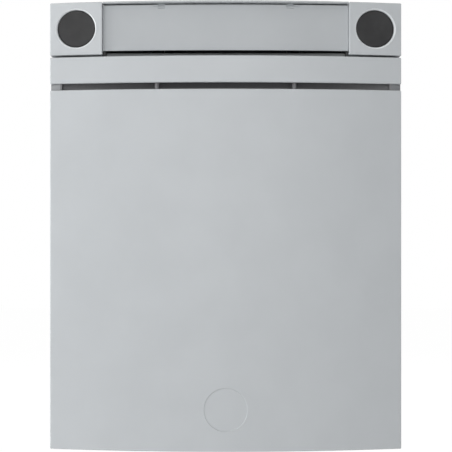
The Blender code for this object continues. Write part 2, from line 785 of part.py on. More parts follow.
def build_connector(side, mats):
    name = side_name(side)
    x_range = span(side, BLOCK_INNER_X + SEAT_GAP, HALF_WIDTH)
    back = POCKET_Y - SEAT_GAP
    shell = bowed_block(
        f"{name}_connector_shell", x_range, (BLOCK_BOTTOM, TOP), front_y, back, mats["front_plastic"]
    )
    round_edges(shell, width=BLOCK_EDGE_ROUND)
    hollow_x = (x_range[0] + SHEET, x_range[1] - SHEET)
    hollow_z = (BLOCK_BOTTOM + SHEET, TOP - SHEET)
    hollow = bowed_block(
        f"{name}_shell_hollow", hollow_x, hollow_z, lambda x: front_y(x, BLOCK_FRONT_WALL), back + SHEET
    )
    cut(shell, hollow)
    frame = bore_frame(side)
    floor = -BARREL_DEPTH
    barrel_radius = BORE_RADIUS + BARREL_WALL
    barrel = turned(
        f"{name}_barrel", rod_profile(barrel_radius, floor - BARREL_WALL, -BLOCK_FRONT_WALL / 2), frame
    )
    inside = bowed_block(
        f"{name}_barrel_limit",
        (x_range[0] + SHEET / 2, x_range[1] - SHEET / 2),
        (BLOCK_BOTTOM + SHEET / 2, TOP - SHEET / 2),
        lambda x: front_y(x, BLOCK_FRONT_WALL / 4),
        back,
    )
    boolean(barrel, inside, "INTERSECT")
    fuse(shell, barrel)
    mouth = BORE_CHAMFER
    stem_hole = STEM_RADIUS + BUTTON_PLAY
    bore = turned(
        f"{name}_bore",
        [
            (0, floor - 2 * BARREL_WALL),
            (stem_hole, floor - 2 * BARREL_WALL),
            (stem_hole, floor),
            (BORE_RADIUS, floor),
            (BORE_RADIUS, -mouth),
            (BORE_RADIUS + 2 * mouth, mouth),
            (0, mouth),
        ],
        frame,
        segments=48,
    )
    cut(shell, bore)
    slide = joint_empty(f"{name}_connector_slide", (side * BLOCK_MID_X, back, BLOCK_MID_Z))
    hang_on(shell, slide)

    core_front = back - CORE_DEPTH
    core_x = (hollow_x[0] + SEAT_GAP, hollow_x[1] - SEAT_GAP)
    core = boxes(
        f"{name}_connector_core",
        [
            (
                (core_x[0], core_front, hollow_z[0] + SEAT_GAP),
                (core_x[1], back, hollow_z[1] - SEAT_GAP),
            )
        ],
        mats["dark_plastic"],
    )
    socket_front = POCKET_Y + SEAT_GAP
    socket_back = POCKET_Y + SOCKET_DEPTH
    insert = boxes(
        f"{name}_socket_insert",
        [
            (
                (side * BLOCK_MID_X - SOCKET_HALF_WIDTH, socket_front, BLOCK_MID_Z - SOCKET_HALF_HEIGHT),
                (side * BLOCK_MID_X + SOCKET_HALF_WIDTH, socket_back, BLOCK_MID_Z + SOCKET_HALF_HEIGHT),
            )
        ],
        mats["dark_plastic"],
    )
    collar_x = SOCKET_HALF_WIDTH + SOCKET_COLLAR
    collar_z = SOCKET_HALF_HEIGHT + SOCKET_COLLAR
    collar_y = POCKET_Y + SHEET + SEAT_GAP
    collar = boxes(
        f"{name}_socket_collar",
        [
            (
                (side * BLOCK_MID_X - collar_x, collar_y, BLOCK_MID_Z - collar_z),
                (side * BLOCK_MID_X + collar_x, collar_y + SHEET, BLOCK_MID_Z + collar_z),
            )
        ],
    )
    fuse(insert, collar)
    pin_front = back - CONTACT_IN_CORE
    pin_back = back + CONTACT_REACH
    core_holes = []
    socket_holes = []
    tip = CONTACT_RADIUS / 2
    for index, way in enumerate((-1, 1), start=1):
        x = side * BLOCK_MID_X + way * CONTACT_SPREAD
        length = pin_back - pin_front
        pin = turned(
            f"{name}_contact_pin_{index}",
            [
                (0, 0),
                (CONTACT_RADIUS, 0),
                (CONTACT_RADIUS, length - tip),
                (CONTACT_RADIUS - tip, length),
                (0, length),
            ],
            facing((0, 1, 0), (x, pin_front, BLOCK_MID_Z)),
            mats["brass"],
            segments=16,
        )
        hang_on(pin, slide)
        core_holes.append(((x, pin_front - SEAT_GAP, BLOCK_MID_Z), (x, back + SHEET, BLOCK_MID_Z)))
        socket_holes.append(((x, POCKET_Y - SHEET, BLOCK_MID_Z), (x, pin_back + SHEET, BLOCK_MID_Z)))
    cut(core, rods(f"{name}_core_holes", CONTACT_RADIUS + PIN_PLAY, core_holes))
    cut(insert, rods(f"{name}_socket_holes", CONTACT_RADIUS + PIN_PLAY, socket_holes))
    hang_on(core, slide)
    build_button(side, frame, slide, mats)


def build_button(side, frame, slide, mats):
    """Domed round button with a stem through the barrel's floor, and the coil spring behind it."""
    name = side_name(side)
    rim = BORE_RADIUS - BUTTON_PLAY
    face = -BUTTON_RECESS
    back = face - BUTTON_THICKNESS
    floor_back = -BARREL_DEPTH - BARREL_WALL
    head = floor_back - SEAT_GAP
    profile = [
        (0, head - SHEET),
        (STEM_HEAD_RADIUS - STEM_HEAD_CHAMFER, head - SHEET),
        (STEM_HEAD_RADIUS, head),
        (STEM_RADIUS, head),
        (STEM_RADIUS, back),
        (rim, back),
        (rim, face - BUTTON_DOME),
    ]
    steps = 6
    for i in range(1, steps):
        share = i / steps
        profile.append((rim * (1 - share), face - BUTTON_DOME * (1 - share) ** 2))
    profile.append((0, face))
    button = turned(f"{name}_release_button", profile, frame, mats["button_plastic"], segments=48)
    axis = joint_empty(f"{name}_button_axis", frame.translation, slide)
    hang_on(button, axis)
    bm = bmesh.new()
    start = frame @ Matrix.Translation((0, 0, -BARREL_DEPTH + SEAT_GAP))
    add_coil(bm, start, SPRING_RADIUS, SPRING_WIRE, SPRING_LENGTH, SPRING_TURNS)
    spring = make_object(f"{name}_button_spring", bm, mats["spring_steel"], smooth=True)
    hang_on(spring, axis)


# --- Wall hanging --------------------------------------------------------------------------------
def build_wall_hanging(mats):
    """Rail on the wall with a raised lip, and the case's hanger that hooks down behind it."""
    half = WALL_RAIL_HEIGHT / 2
    lip_top = half + CLEAT_LIP
    lip_back = -CLEAT_REACH + WALL_RAIL_SHEET
    rail = prism(
        "wall_rail",
        [
            (0, -half),
            (0, half),
            (lip_back, half),
            (lip_back, lip_top),
            (-CLEAT_REACH, lip_top),
            (-CLEAT_REACH, half - WALL_RAIL_SHEET),
            (-WALL_RAIL_SHEET, half - WALL_RAIL_SHEET),
            (-WALL_RAIL_SHEET, -half),
        ],
        "x",
        -WALL_RAIL_WIDTH / 2,
        WALL_RAIL_WIDTH / 2,
        mats["galvanised"],
    )
    slots = bmesh.new()
    for x in SCREW_SLOT_XS:
        outline = slot_outline(x, 0.0, SCREW_SLOT_LENGTH, SCREW_SLOT_WIDTH)
        add_prism(slots, outline, "y", -2 * WALL_RAIL_SHEET, WALL_RAIL_SHEET)
    cut(rail, make_object("rail_slots", slots))

    flange_back = BACK_Y + SEAT_GAP
    flange_front = flange_back + HANGER_SHEET
    hook_under = lip_top + SEAT_GAP
    leg_front = lip_back + SEAT_GAP
    leg_under = half + 4 * SEAT_GAP
    prism(
        "hanger_rail",
        [
            (flange_back, hook_under + HANGER_SHEET - HANGER_FLANGE),
            (flange_front, hook_under + HANGER_SHEET - HANGER_FLANGE),
            (flange_front, hook_under),
            (leg_front, hook_under),
            (leg_front, leg_under),
            (leg_front + HANGER_SHEET, leg_under),
            (leg_front + HANGER_SHEET, hook_under + HANGER_SHEET),
            (flange_back, hook_under + HANGER_SHEET),
        ],
        "x",
        -HANGER_WIDTH / 2,
        HANGER_WIDTH / 2,
        mats["galvanised"],
    )
    length = WALL_STANDOFF - SEAT_GAP
    taper = 0.0015
    for side in (-1, 1):
        place = (side * (HALF_WIDTH - PAD_INSET), flange_back, BOTTOM + PAD_INSET)
        profile = [
            (0, 0),
            (PAD_RADIUS, 0),
            (PAD_RADIUS, length - taper),
            (PAD_RADIUS - taper, length),
            (0, length),
        ]
        turned(f"{side_name(side)}_wall_pad", profile, facing((0, 1, 0), place), mats["rubber"], 32)


# --- Cells ---------------------------------------------------------------------------------------
CELLS_BACK_Y = BACK_Y - SHEET - MODULE_BACK_ROOM
CELLS_FRONT_Y = FLANGE_Y + SHEET + MODULE_FRONT_ROOM
END_OUTER_X = INNER_X - ROW_SIDE_ROOM
END_INNER_X = END_OUTER_X - END_PLATE
CELL_TRAY_Z = BOTTOM + SHEET + SEAT_GAP
CELLS_Z = CELL_TRAY_Z + CELL_TRAY_HEIGHT + SEAT_GAP
SHELF_Z = DECK_UNDER - ELECTRONICS_ROOM
CELLS_TOP = SHELF_Z - 2 * SEAT_GAP
ROW_JOINT = ROW_SPACER + 2 * SEAT_GAP
MODULE_HEIGHT = (CELLS_TOP - CELLS_Z - (ROWS - 1) * ROW_JOINT) / ROWS
MODULE_ROOM = 2 * (END_INNER_X - SEAT_GAP)
MODULE_WIDTH = (MODULE_ROOM - (MODULES_PER_ROW - 1) * MODULE_GAP) / MODULES_PER_ROW


def build_cell_module(number, x, z, mats):
    """One wrapped module with its two terminals on the front."""
    bm = bmesh.new()
    add_box(bm, (x, CELLS_FRONT_Y, z), (x + MODULE_WIDTH, CELLS_BACK_Y, z + MODULE_HEIGHT))
    module = make_object(f"cell_module_{number}", bm, mats["module_wrap"])
    round_edges(module, width=MODULE_EDGE, segments=1)
    terminals = []
    for share in (0.16, 0.84):
        middle = z + MODULE_HEIGHT * share
        centre_x = x + MODULE_WIDTH / 2
        half = TERMINAL_SIZE / 2
        low = (centre_x - half, CELLS_FRONT_Y - TERMINAL_HEIGHT, middle - half)
        high = (centre_x + half, CELLS_FRONT_Y + TERMINAL_HEIGHT, middle + half)
        terminals.append((low, high))
    fuse(module, boxes(f"module_{number}_terminals", terminals))


def build_cells(mats):
    """Tray, two rows of modules between end plates, spacer, straps and contact plates."""
    tray_low = (-END_OUTER_X, CELLS_FRONT_Y, CELL_TRAY_Z)
    tray_high = (END_OUTER_X, CELLS_BACK_Y, CELL_TRAY_Z + CELL_TRAY_HEIGHT)
    boxes("cell_tray", [(tray_low, tray_high)], mats["dark_plastic"])
    number = 0
    for row in range(ROWS):
        z = CELLS_Z + row * (MODULE_HEIGHT + ROW_JOINT)
        level = "lower" if row == 0 else "upper"
        for column in range(MODULES_PER_ROW):
            number += 1
            x = -MODULE_ROOM / 2 + column * (MODULE_WIDTH + MODULE_GAP)
            build_cell_module(number, x, z, mats)
        middle = z + MODULE_HEIGHT / 2
        build_strap(level, middle, mats)
        plate_back = CELLS_FRONT_Y - TERMINAL_HEIGHT - SEAT_GAP
        plate_low = (-MODULE_ROOM / 2, plate_back - CONTACT_PLATE, z + CONTACT_PLATE_MARGIN)
        plate_high = (MODULE_ROOM / 2, plate_back, z + MODULE_HEIGHT - CONTACT_PLATE_MARGIN)
        boxes(f"{level}_contact_plate", [(plate_low, plate_high)], mats["dark_plastic"])
    spacer_z = CELLS_Z + MODULE_HEIGHT + SEAT_GAP
    spacer_low = (-MODULE_ROOM / 2, CELLS_FRONT_Y, spacer_z)
    spacer_high = (MODULE_ROOM / 2, CELLS_BACK_Y, spacer_z + ROW_SPACER)
    boxes("row_spacer", [(spacer_low, spacer_high)], mats["rubber"])
    for side in (-1, 1):
        x_low, x_high = span(side, END_INNER_X, END_OUTER_X)
        plate = [((x_low, CELLS_FRONT_Y, CELLS_Z), (x_high, CELLS_BACK_Y, CELLS_TOP))]
        boxes(f"{side_name(side)}_end_plate", plate, mats["galvanised"])


def build_strap(level, middle, mats):
    """Steel band round one row and its end plates."""
    inner_x = END_OUTER_X + SEAT_GAP
    front = CELLS_FRONT_Y - SEAT_GAP
    back = CELLS_BACK_Y + SEAT_GAP
    half = STRAP_WIDTH / 2
    outer_low = (-inner_x - STRAP_SHEET, front - STRAP_SHEET, middle - half)
    outer_high = (inner_x + STRAP_SHEET, back + STRAP_SHEET, middle + half)
    strap = boxes(f"{level}_strap", [(outer_low, outer_high)], mats["galvanised"])
    inside = boxes(
        f"{level}_strap_inside",
        [((-inner_x, front, middle - STRAP_WIDTH), (inner_x, back, middle + STRAP_WIDTH))],
    )
    cut(strap, inside)


# --- Electronics ---------------------------------------------------------------------------------
def build_electronics(mats):
    """Shelf from wall to wall above the cells, with board, contactor and fuse, and the two cables."""
    shelf_x = INNER_X - SEAT_GAP
    shelf_top = SHELF_Z + TRAY_SHEET
    front = CELLS_FRONT_Y - TERMINAL_HEIGHT
    shelf = boxes(
        "electronics_tray",
        [((-shelf_x, front, SHELF_Z), (shelf_x, CELLS_BACK_Y, shelf_top))],
        mats["galvanised"],
    )
    middle_y = (front + CELLS_BACK_Y) / 2
    board_z = shelf_top + STANDOFF_HEIGHT
    standoffs = []
    for way_x in (-1, 1):
        for way_y in (-1, 1):
            x = way_x * (BOARD_WIDTH / 2 - STANDOFF_INSET)
            y = middle_y + way_y * (BOARD_DEPTH / 2 - STANDOFF_INSET)
            standoffs.append(((x, y, SHELF_Z + TRAY_SHEET / 2), (x, y, board_z - SEAT_GAP)))
    fuse(shelf, rods("tray_standoffs", STANDOFF_RADIUS, standoffs, segments=12))
    board = boxes(
        "battery_board",
        [
            (
                (-BOARD_WIDTH / 2, middle_y - BOARD_DEPTH / 2, board_z),
                (BOARD_WIDTH / 2, middle_y + BOARD_DEPTH / 2, board_z + BOARD_SHEET),
            )
        ],
        mats["board_green"],
    )
    chip_top = board_z + BOARD_SHEET + CHIP_HEIGHT
    chips = []
    for way, half in ((-1, BOARD_WIDTH * 0.08), (1, BOARD_WIDTH * 0.05)):
        x = way * BOARD_WIDTH / 4
        low = (x - half, middle_y - half, board_z + BOARD_SHEET / 2)
        high = (x + half, middle_y + half, chip_top)
        chips.append((low, high))
    fuse(board, boxes("board_chips", chips))

    width, depth, height = CONTACTOR_SIZE
    contactor_x = BOARD_WIDTH / 2 + SIDE_DEVICE_GAP
    contactor_z = shelf_top + SEAT_GAP
    contactor_top = contactor_z + height
    contactor = boxes(
        "main_contactor",
        [
            (
                (contactor_x - width / 2, middle_y - depth / 2, contactor_z),
                (contactor_x + width / 2, middle_y + depth / 2, contactor_top),
            )
        ],
        mats["dark_plastic"],
    )
    round_edges(contactor, width=CONTACTOR_EDGE)
    fuse_x = -contactor_x
    fuse_z = shelf_top + SEAT_GAP + FUSE_RADIUS
    cap = FUSE_CAP_RADIUS
    cap_length = FUSE_CAP_LENGTH
    half = FUSE_LENGTH / 2
    turned(
        "main_fuse",
        [
            (0, -half),
            (cap, -half),
            (cap, -half + cap_length),
            (FUSE_RADIUS, -half + cap_length),
            (FUSE_RADIUS, half - cap_length),
            (cap, half - cap_length),
            (cap, half),
            (0, half),
        ],
        facing((0, 1, 0), (fuse_x, middle_y, fuse_z)),
        mats["cable_red"],
        segments=24,
    )
    build_cable("positive_cable", 1, (contactor_x, middle_y, contactor_top), mats["cable_red"])
    fuse_top = fuse_z + FUSE_RADIUS
    build_cable("negative_cable", -1, (fuse_x, middle_y, fuse_top), mats["cable_black"])


def build_cable(name, side, start, material):
    """Smooth cable from the top of its device up and forward into the back of a socket."""
    last = Vector((side * BLOCK_MID_X, POCKET_Y + SOCKET_DEPTH + CABLE_END_GAP, BLOCK_MID_Z))
    end = last + Vector((0, CABLE_LEAD, 0))
    first = Vector(start) + Vector((0, 0, CABLE_END_GAP))
    start = first + Vector((0, 0, CABLE_LEAD))
    lift = Vector((0, 0, 1)) * (end.z - start.z) * 0.9
    pull = Vector((0, 1, 0)) * abs(start.y - end.y + 0.02) * 1.2
    curve = bpy.data.curves.new(name, "CURVE")
    curve.dimensions = "3D"
    curve.bevel_depth = CABLE_RADIUS
    curve.bevel_resolution = 2
    curve.use_fill_caps = True
    steps = 16
    points = [first]
    for i in range(steps + 1):
        t = i / steps
        point = (
            start * (1 - t) ** 3
            + (start + lift) * 3 * t * (1 - t) ** 2
            + (end + pull) * 3 * t**2 * (1 - t)
            + end * t**3
        )
        points.append(point)
    points.append(last)
    spline = curve.splines.new("POLY")
    spline.points.add(len(points) - 1)
    for target, point in zip(spline.points, points):
        target.co = (*point, 1.0)
    curve.materials.append(material)
    cable = bpy.data.objects.new(name, curve)
    bpy.context.scene.collection.objects.link(cable)


def build_wiring_bay(mats):
    """Terminal block and two data sockets on the deck's back wall, behind the flap."""
    back = POCKET_Y - SEAT_GAP
    base = DECK_TOP + SEAT_GAP
    width, depth, height = TERMINAL_BLOCK
    front = back - depth
    block = boxes(
        "terminal_block",
        [((-width / 2, front, base), (width / 2, back, base + height))],
        mats["dark_plastic"],
    )
    holes = []
    z = base + TERMINAL_HOLE_HEIGHT
    for i in range(TERMINAL_POLES):
        x = (i - (TERMINAL_POLES - 1) / 2) * TERMINAL_PITCH
        holes.append(((x, front - SHEET, z), (x, front + TERMINAL_HOLE_DEPTH, z)))
    cut(block, rods("terminal_holes", TERMINAL_HOLE_RADIUS, holes, segments=10))
    width, depth, height = DATA_SOCKET
    front = back - depth
    for side in (-1, 1):
        x = side * DATA_SOCKET_X
        socket = boxes(
            f"{side_name(side)}_data_socket",
            [((x - width / 2, front, base), (x + width / 2, back, base + height))],
            mats["dark_plastic"],
        )
        reach = width / 2 - DATA_WALL
        low = (x - reach, front - SHEET, base + DATA_WALL)
        high = (x + reach, front + DATA_MOUTH_DEPTH, base + height - DATA_WALL)
        cut(socket, boxes(f"{side_name(side)}_data_opening", [(low, high)]))


def main():
    for obj in list(bpy.data.objects):
        bpy.data.objects.remove(obj, do_unlink=True)
    mats = make_materials()
    build_housing(mats)
    build_top_cover(mats)
    build_deck(mats)
    build_flap_rest(mats)
    build_fascia(mats)
    build_vent_panel(mats)
    build_front_cover(mats)
    build_gasket(mats)
    build_clips(mats)
    build_flap(mats)
    for side in (-1, 1):
        build_connector(side, mats)
    build_wiring_bay(mats)
    build_cells(mats)
    build_electronics(mats)
    build_wall_hanging(mats)
    bpy.context.view_layer.update()


main()
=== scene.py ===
"""Looks of the wall battery unit: moulded front, powder-coated case, zinc-plated rails and its insides.

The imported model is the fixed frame. Front pieces are modelled flat and bowed by one Geometry Nodes tree.
Metres, +Z up, the unit's front faces -Y and the wall is the plane y = 0.
"""

import json
import math

import bmesh
import bpy
from mathutils import Matrix, Vector


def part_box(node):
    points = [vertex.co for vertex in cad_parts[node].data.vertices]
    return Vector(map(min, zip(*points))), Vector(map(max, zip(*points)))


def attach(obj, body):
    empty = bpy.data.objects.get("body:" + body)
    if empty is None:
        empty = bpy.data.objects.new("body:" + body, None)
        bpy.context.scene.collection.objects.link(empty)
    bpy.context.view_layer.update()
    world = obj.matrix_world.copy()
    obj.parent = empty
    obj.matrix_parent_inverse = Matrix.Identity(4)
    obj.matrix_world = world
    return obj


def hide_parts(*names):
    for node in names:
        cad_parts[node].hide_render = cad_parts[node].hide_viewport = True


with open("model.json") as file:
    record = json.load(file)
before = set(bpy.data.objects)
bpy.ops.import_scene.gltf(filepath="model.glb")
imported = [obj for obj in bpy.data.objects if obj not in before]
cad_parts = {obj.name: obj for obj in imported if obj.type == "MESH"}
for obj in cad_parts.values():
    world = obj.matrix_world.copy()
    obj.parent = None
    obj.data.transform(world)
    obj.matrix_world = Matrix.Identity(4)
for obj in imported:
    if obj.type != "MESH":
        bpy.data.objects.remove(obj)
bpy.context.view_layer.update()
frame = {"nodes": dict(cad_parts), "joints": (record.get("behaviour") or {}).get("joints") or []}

MM = 0.001

# --- Sizes read from the frame -------------------------------------------------------------------
COVER_LOW, COVER_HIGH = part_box("front_cover")
FASCIA_LOW, FASCIA_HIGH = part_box("upper_fascia")
FLAP_LOW, FLAP_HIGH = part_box("service_flap")
LID_LOW, LID_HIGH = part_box("top_cover")
FLAP_JOINT = next(j for j in frame["joints"] if j["name"] == "flap_hinge")
HALF_WIDTH = COVER_HIGH.x
APEX_Y = COVER_LOW.y
RIM_Y = FASCIA_HIGH.y  # back edge of the cover and the fascia
HINGE_Y, HINGE_Z = FLAP_JOINT["pos_m"][1:]

# --- Sizes of the front's shape ------------------------------------------------------------------
FRONT_BULGE = 18 * MM
FLAP_BULGE = 6 * MM
FLAP_SETBACK = 8 * MM
MOULDING = 3 * MM
EDGE_ROUND = 1.2 * MM
FASCIA_BOTTOM = FASCIA_LOW.z
FLAP_HEIGHT = 50.3 * MM
FLAP_BOTTOM = FLAP_LOW.z
FLAP_TOP = FLAP_BOTTOM + FLAP_HEIGHT
FLAP_HALF = FLAP_HIGH.x
BADGE_RADIUS = 24 * MM
BADGE_HEIGHT = 46 * MM
BADGE_DEPTH = 0.8 * MM
BORE_RADIUS = 20.7 * MM
SHEET = 2.5 * MM
SEAT_GAP = 0.3 * MM
RIB_X = 75.6 * MM
HINGE_X = 71 * MM
KNUCKLE_RADIUS = 1.5 * MM
BORE_WIDEN = 1.045  # the bores and buttons are this much wider than tall
BARREL_DEPTH = 18.6 * MM
BARREL_WALL = 2.5 * MM


def bow_radius(half_width, bulge):
    """Radius of an arc that rises by bulge over half_width."""
    return (half_width**2 + bulge**2) / (2 * bulge)


FRONT_RADIUS = bow_radius(HALF_WIDTH, FRONT_BULGE)
FLAP_RADIUS = bow_radius(FLAP_HALF, FLAP_BULGE)


def front_y(x, inset=0.0):
    """Y of the bowed front at x, or of a face that lies inset behind it."""
    return APEX_Y + FRONT_RADIUS - math.sqrt((FRONT_RADIUS - inset) ** 2 - x**2)


# --- Node helpers --------------------------------------------------------------------------------
def to_linear(value):
    return value / 12.92 if value <= 0.04045 else ((value + 0.055) / 1.055) ** 2.4


def hex_colour(code):
    """An sRGB hex colour as the linear colour that the nodes take."""
    code = code.lstrip("#")
    return (*(to_linear(int(code[i : i + 2], 16) / 255) for i in (0, 2, 4)), 1.0)


def add(tree, kind, inputs=None, **settings):
    """Adds a node. inputs maps a socket's name or number to a value, or to the socket that feeds it."""
    node = tree.nodes.new(kind)
    for name, value in settings.items():
        setattr(node, name, value)
    for key, value in (inputs or {}).items():
        socket = node.inputs[key]
        if isinstance(value, bpy.types.NodeSocket):
            tree.links.new(value, socket)
        else:
            socket.default_value = value
    return node


def new_material(name, colour, roughness, metallic=0.0, **sockets):
    """A Principled material; returns it with its tree, its shader and the Object coordinates."""
    material = bpy.data.materials.new(name)
    material.use_nodes = True
    tree = material.node_tree
    shader = tree.nodes["Principled BSDF"]
    shader.inputs["Base Color"].default_value = hex_colour(colour)
    shader.inputs["Roughness"].default_value = roughness
    shader.inputs["Metallic"].default_value = metallic
    for socket, value in sockets.items():
        shader.inputs[socket.replace("_", " ")].default_value = value
    place = add(tree, "ShaderNodeTexCoord").outputs["Object"]
    return material, tree, shader, place


def noise(tree, place, size, detail=2.0, rough=0.5):
    """Noise whose blobs are about size metres across."""
    made = add(tree, "ShaderNodeTexNoise", {"Vector": place, "Scale": 1 / size, "Detail": detail})
    made.inputs["Roughness"].default_value = rough
    return made.outputs["Fac"]


def ramp(tree, factor, low, high, low_colour, high_colour):
    """Blends two colours over a range of factor."""
    made = add(tree, "ShaderNodeValToRGB", {"Fac": factor})
    for element, at, colour in zip(made.color_ramp.elements, (low, high), (low_colour, high_colour)):
        element.position = at
        element.color = hex_colour(colour)
    return made.outputs["Color"]


def spread(tree, factor, low, high):
    """Maps a factor around 0.5 to a range of values."""
    made = add(tree, "ShaderNodeMapRange", {"Value": factor, "From Min": 0.3, "From Max": 0.7})
    made.inputs["To Min"].default_value = low
    made.inputs["To Max"].default_value = high
    return made.outputs["Result"]


def bump(tree, shader, height, distance, strength=1.0, under=None):
    """Gives the shader a bumped normal, on top of an earlier one if under is given."""
    inputs = {"Height": height, "Distance": distance, "Strength": strength}
    if under is not None:
        inputs["Normal"] = under
    made = add(tree, "ShaderNodeBump", inputs)
    tree.links.new(made.outputs["Normal"], shader.inputs["Normal"])
    return made.outputs["Normal"]


# --- Materials -----------------------------------------------------------------------------------
def moulded_front(name, pale, deep, roughness=0.42):
    """ABS and polycarbonate moulding, spark-eroded tool finish: satin, with a grain near 0.5 mm."""
    material, tree, shader, place = new_material(name, pale, roughness)
    cloud = noise(tree, place, 60 * MM, detail=3.0)
    tree.links.new(ramp(tree, cloud, 0.35, 0.65, deep, pale), shader.inputs["Base Color"])
    # The real grain is nearer 0.1 mm; it is drawn coarser so that it shows.
    grain = noise(tree, place, 0.5 * MM, detail=3.0, rough=0.6)
    tree.links.new(spread(tree, grain, roughness - 0.05, roughness + 0.06), shader.inputs["Roughness"])
    bump(tree, shader, grain, 0.02 * MM, 0.35)
    return material


def powder_coat(name, pale, deep):
    """Steel with baked polyester powder: a faint orange peel of about 2 mm and a fine speckle."""
    material, tree, shader, place = new_material(name, pale, 0.46)
    peel = noise(tree, place, 2.2 * MM, detail=1.0)
    speckle = noise(tree, place, 0.6 * MM, detail=2.0, rough=0.7)
    tree.links.new(ramp(tree, speckle, 0.3, 0.7, deep, pale), shader.inputs["Base Color"])
    tree.links.new(spread(tree, speckle, 0.42, 0.52), shader.inputs["Roughness"])
    first = bump(tree, shader, peel, 0.05 * MM, 0.5)
    bump(tree, shader, speckle, 0.015 * MM, 0.4, under=first)
    return material


def dark_moulding(name, deep, pale, roughness):
    """Glass-filled nylon, moulded: near black, matt, with a slight mottle from the fibres."""
    material, tree, shader, place = new_material(name, deep, roughness)
    mottle = noise(tree, place, 1.5 * MM, detail=4.0, rough=0.65)
    tree.links.new(ramp(tree, mottle, 0.35, 0.65, deep, pale), shader.inputs["Base Color"])
    tree.links.new(spread(tree, mottle, roughness - 0.05, roughness + 0.08), shader.inputs["Roughness"])
    bump(tree, shader, mottle, 0.02 * MM, 0.4)
    return material


def satin_button():
    """Dark grey polypropylene, moulded satin, with a fine grain; soft clouds about 14 mm across are painted
    sheen.
    """
    material, tree, shader, place = new_material("satin_button_grey", "#262627", 0.45, Specular_IOR_Level=0.3)
    # The clouds are painted sheen: lighter and darker patches that stand in for soft reflections on the satin
    # face.
    cloud = noise(tree, place, 14 * MM, detail=2.0)
    tree.links.new(ramp(tree, cloud, 0.3, 0.7, "#202021", "#2d2d2e"), shader.inputs["Base Color"])
    tree.links.new(spread(tree, cloud, 0.4, 0.5), shader.inputs["Roughness"])
    bump(tree, shader, noise(tree, place, 0.5 * MM), 0.015 * MM, 0.3)
    return material


def zinc_plate():
    """Hot-dip galvanised sheet: spangles of about 9 mm that catch the light differently."""
    material, tree, shader, place = new_material("galvanised_steel_sheet", "#b4b7b9", 0.42, 1.0)
    cells = add(tree, "ShaderNodeTexVoronoi", {"Vector": place, "Scale": 1 / (9 * MM)})
    grey = add(tree, "ShaderNodeRGBToBW", {"Color": cells.outputs["Color"]}).outputs["Val"]
    tree.links.new(ramp(tree, grey, 0.2, 0.8, "#a9adb0", "#bdc0c2"), shader.inputs["Base Color"])
    tree.links.new(spread(tree, grey, 0.36, 0.5), shader.inputs["Roughness"])
    bump(tree, shader, noise(tree, place, 1.2 * MM), 0.02 * MM, 0.3)
    return material


def drawn_metal(name, bright, dull, roughness):
    """Bare drawn or turned metal: fine scratches under half a millimetre along the piece."""
    material, tree, shader, place = new_material(name, bright, roughness, 1.0)
    stretch = add(tree, "ShaderNodeMapping", {"Vector": place, "Scale": (1.0, 0.15, 1.0)})
    line = noise(tree, stretch.outputs["Vector"], 0.5 * MM, detail=3.0)
    tree.links.new(ramp(tree, line, 0.3, 0.7, dull, bright), shader.inputs["Base Color"])
    tree.links.new(spread(tree, line, roughness - 0.06, roughness + 0.1), shader.inputs["Roughness"])
    bump(tree, shader, line, 0.01 * MM, 0.3)
    return material


def moulded_rubber():
    """EPDM rubber, compression moulded: black, dull, slightly dusty."""
    material, tree, shader, place = new_material("epdm_rubber", "#1c1c1d", 0.82)
    dust = noise(tree, place, 5 * MM, detail=4.0, rough=0.7)
    tree.links.new(ramp(tree, dust, 0.35, 0.75, "#18181a", "#2a2a2b"), shader.inputs["Base Color"])
    bump(tree, shader, noise(tree, place, 0.8 * MM), 0.03 * MM, 0.5)
    return material


def wrap_film():
    """Blue PET film shrunk round a stack of cells: glossy, with slack ripples of about 12 mm."""
    material, tree, shader, place = new_material("shrink_film_blue", "#2c5f9e", 0.3)
    ripple = noise(tree, place, 12 * MM, detail=2.0)
    tree.links.new(ramp(tree, ripple, 0.3, 0.7, "#27548c", "#3368a8"), shader.inputs["Base Color"])
    tree.links.new(spread(tree, ripple, 0.24, 0.4), shader.inputs["Roughness"])
    bump(tree, shader, ripple, 0.4 * MM, 0.35)
    return material


def board_mask():
    """Epoxy-glass board under green solder mask, with copper tracks 1 mm apart just showing."""
    material, tree, shader, place = new_material("solder_mask_green", "#14532d", 0.32)
    tracks = add(tree, "ShaderNodeTexBrick", {"Vector": place, "Scale": 1 / (8 * MM)})
    tracks.inputs["Color1"].default_value = hex_colour("#14532d")
    tracks.inputs["Color2"].default_value = hex_colour("#185c33")
    tracks.inputs["Mortar"].default_value = hex_colour("#2a7a48")
    tracks.inputs["Mortar Size"].default_value = 0.04
    tree.links.new(tracks.outputs["Color"], shader.inputs["Base Color"])
    bump(tree, shader, tracks.outputs["Fac"], 0.03 * MM, 0.5)
    return material


def cable_sheath(name, deep, pale):
    """Silicone-rubber cable sheath, extruded: soft sheen and a faint powdery bloom."""
    material, tree, shader, place = new_material(name, deep, 0.5)
    bloom = noise(tree, place, 4 * MM, detail=3.0)
    tree.links.new(ramp(tree, bloom, 0.35, 0.7, deep, pale), shader.inputs["Base Color"])
    tree.links.new(spread(tree, bloom, 0.44, 0.6), shader.inputs["Roughness"])
    return material


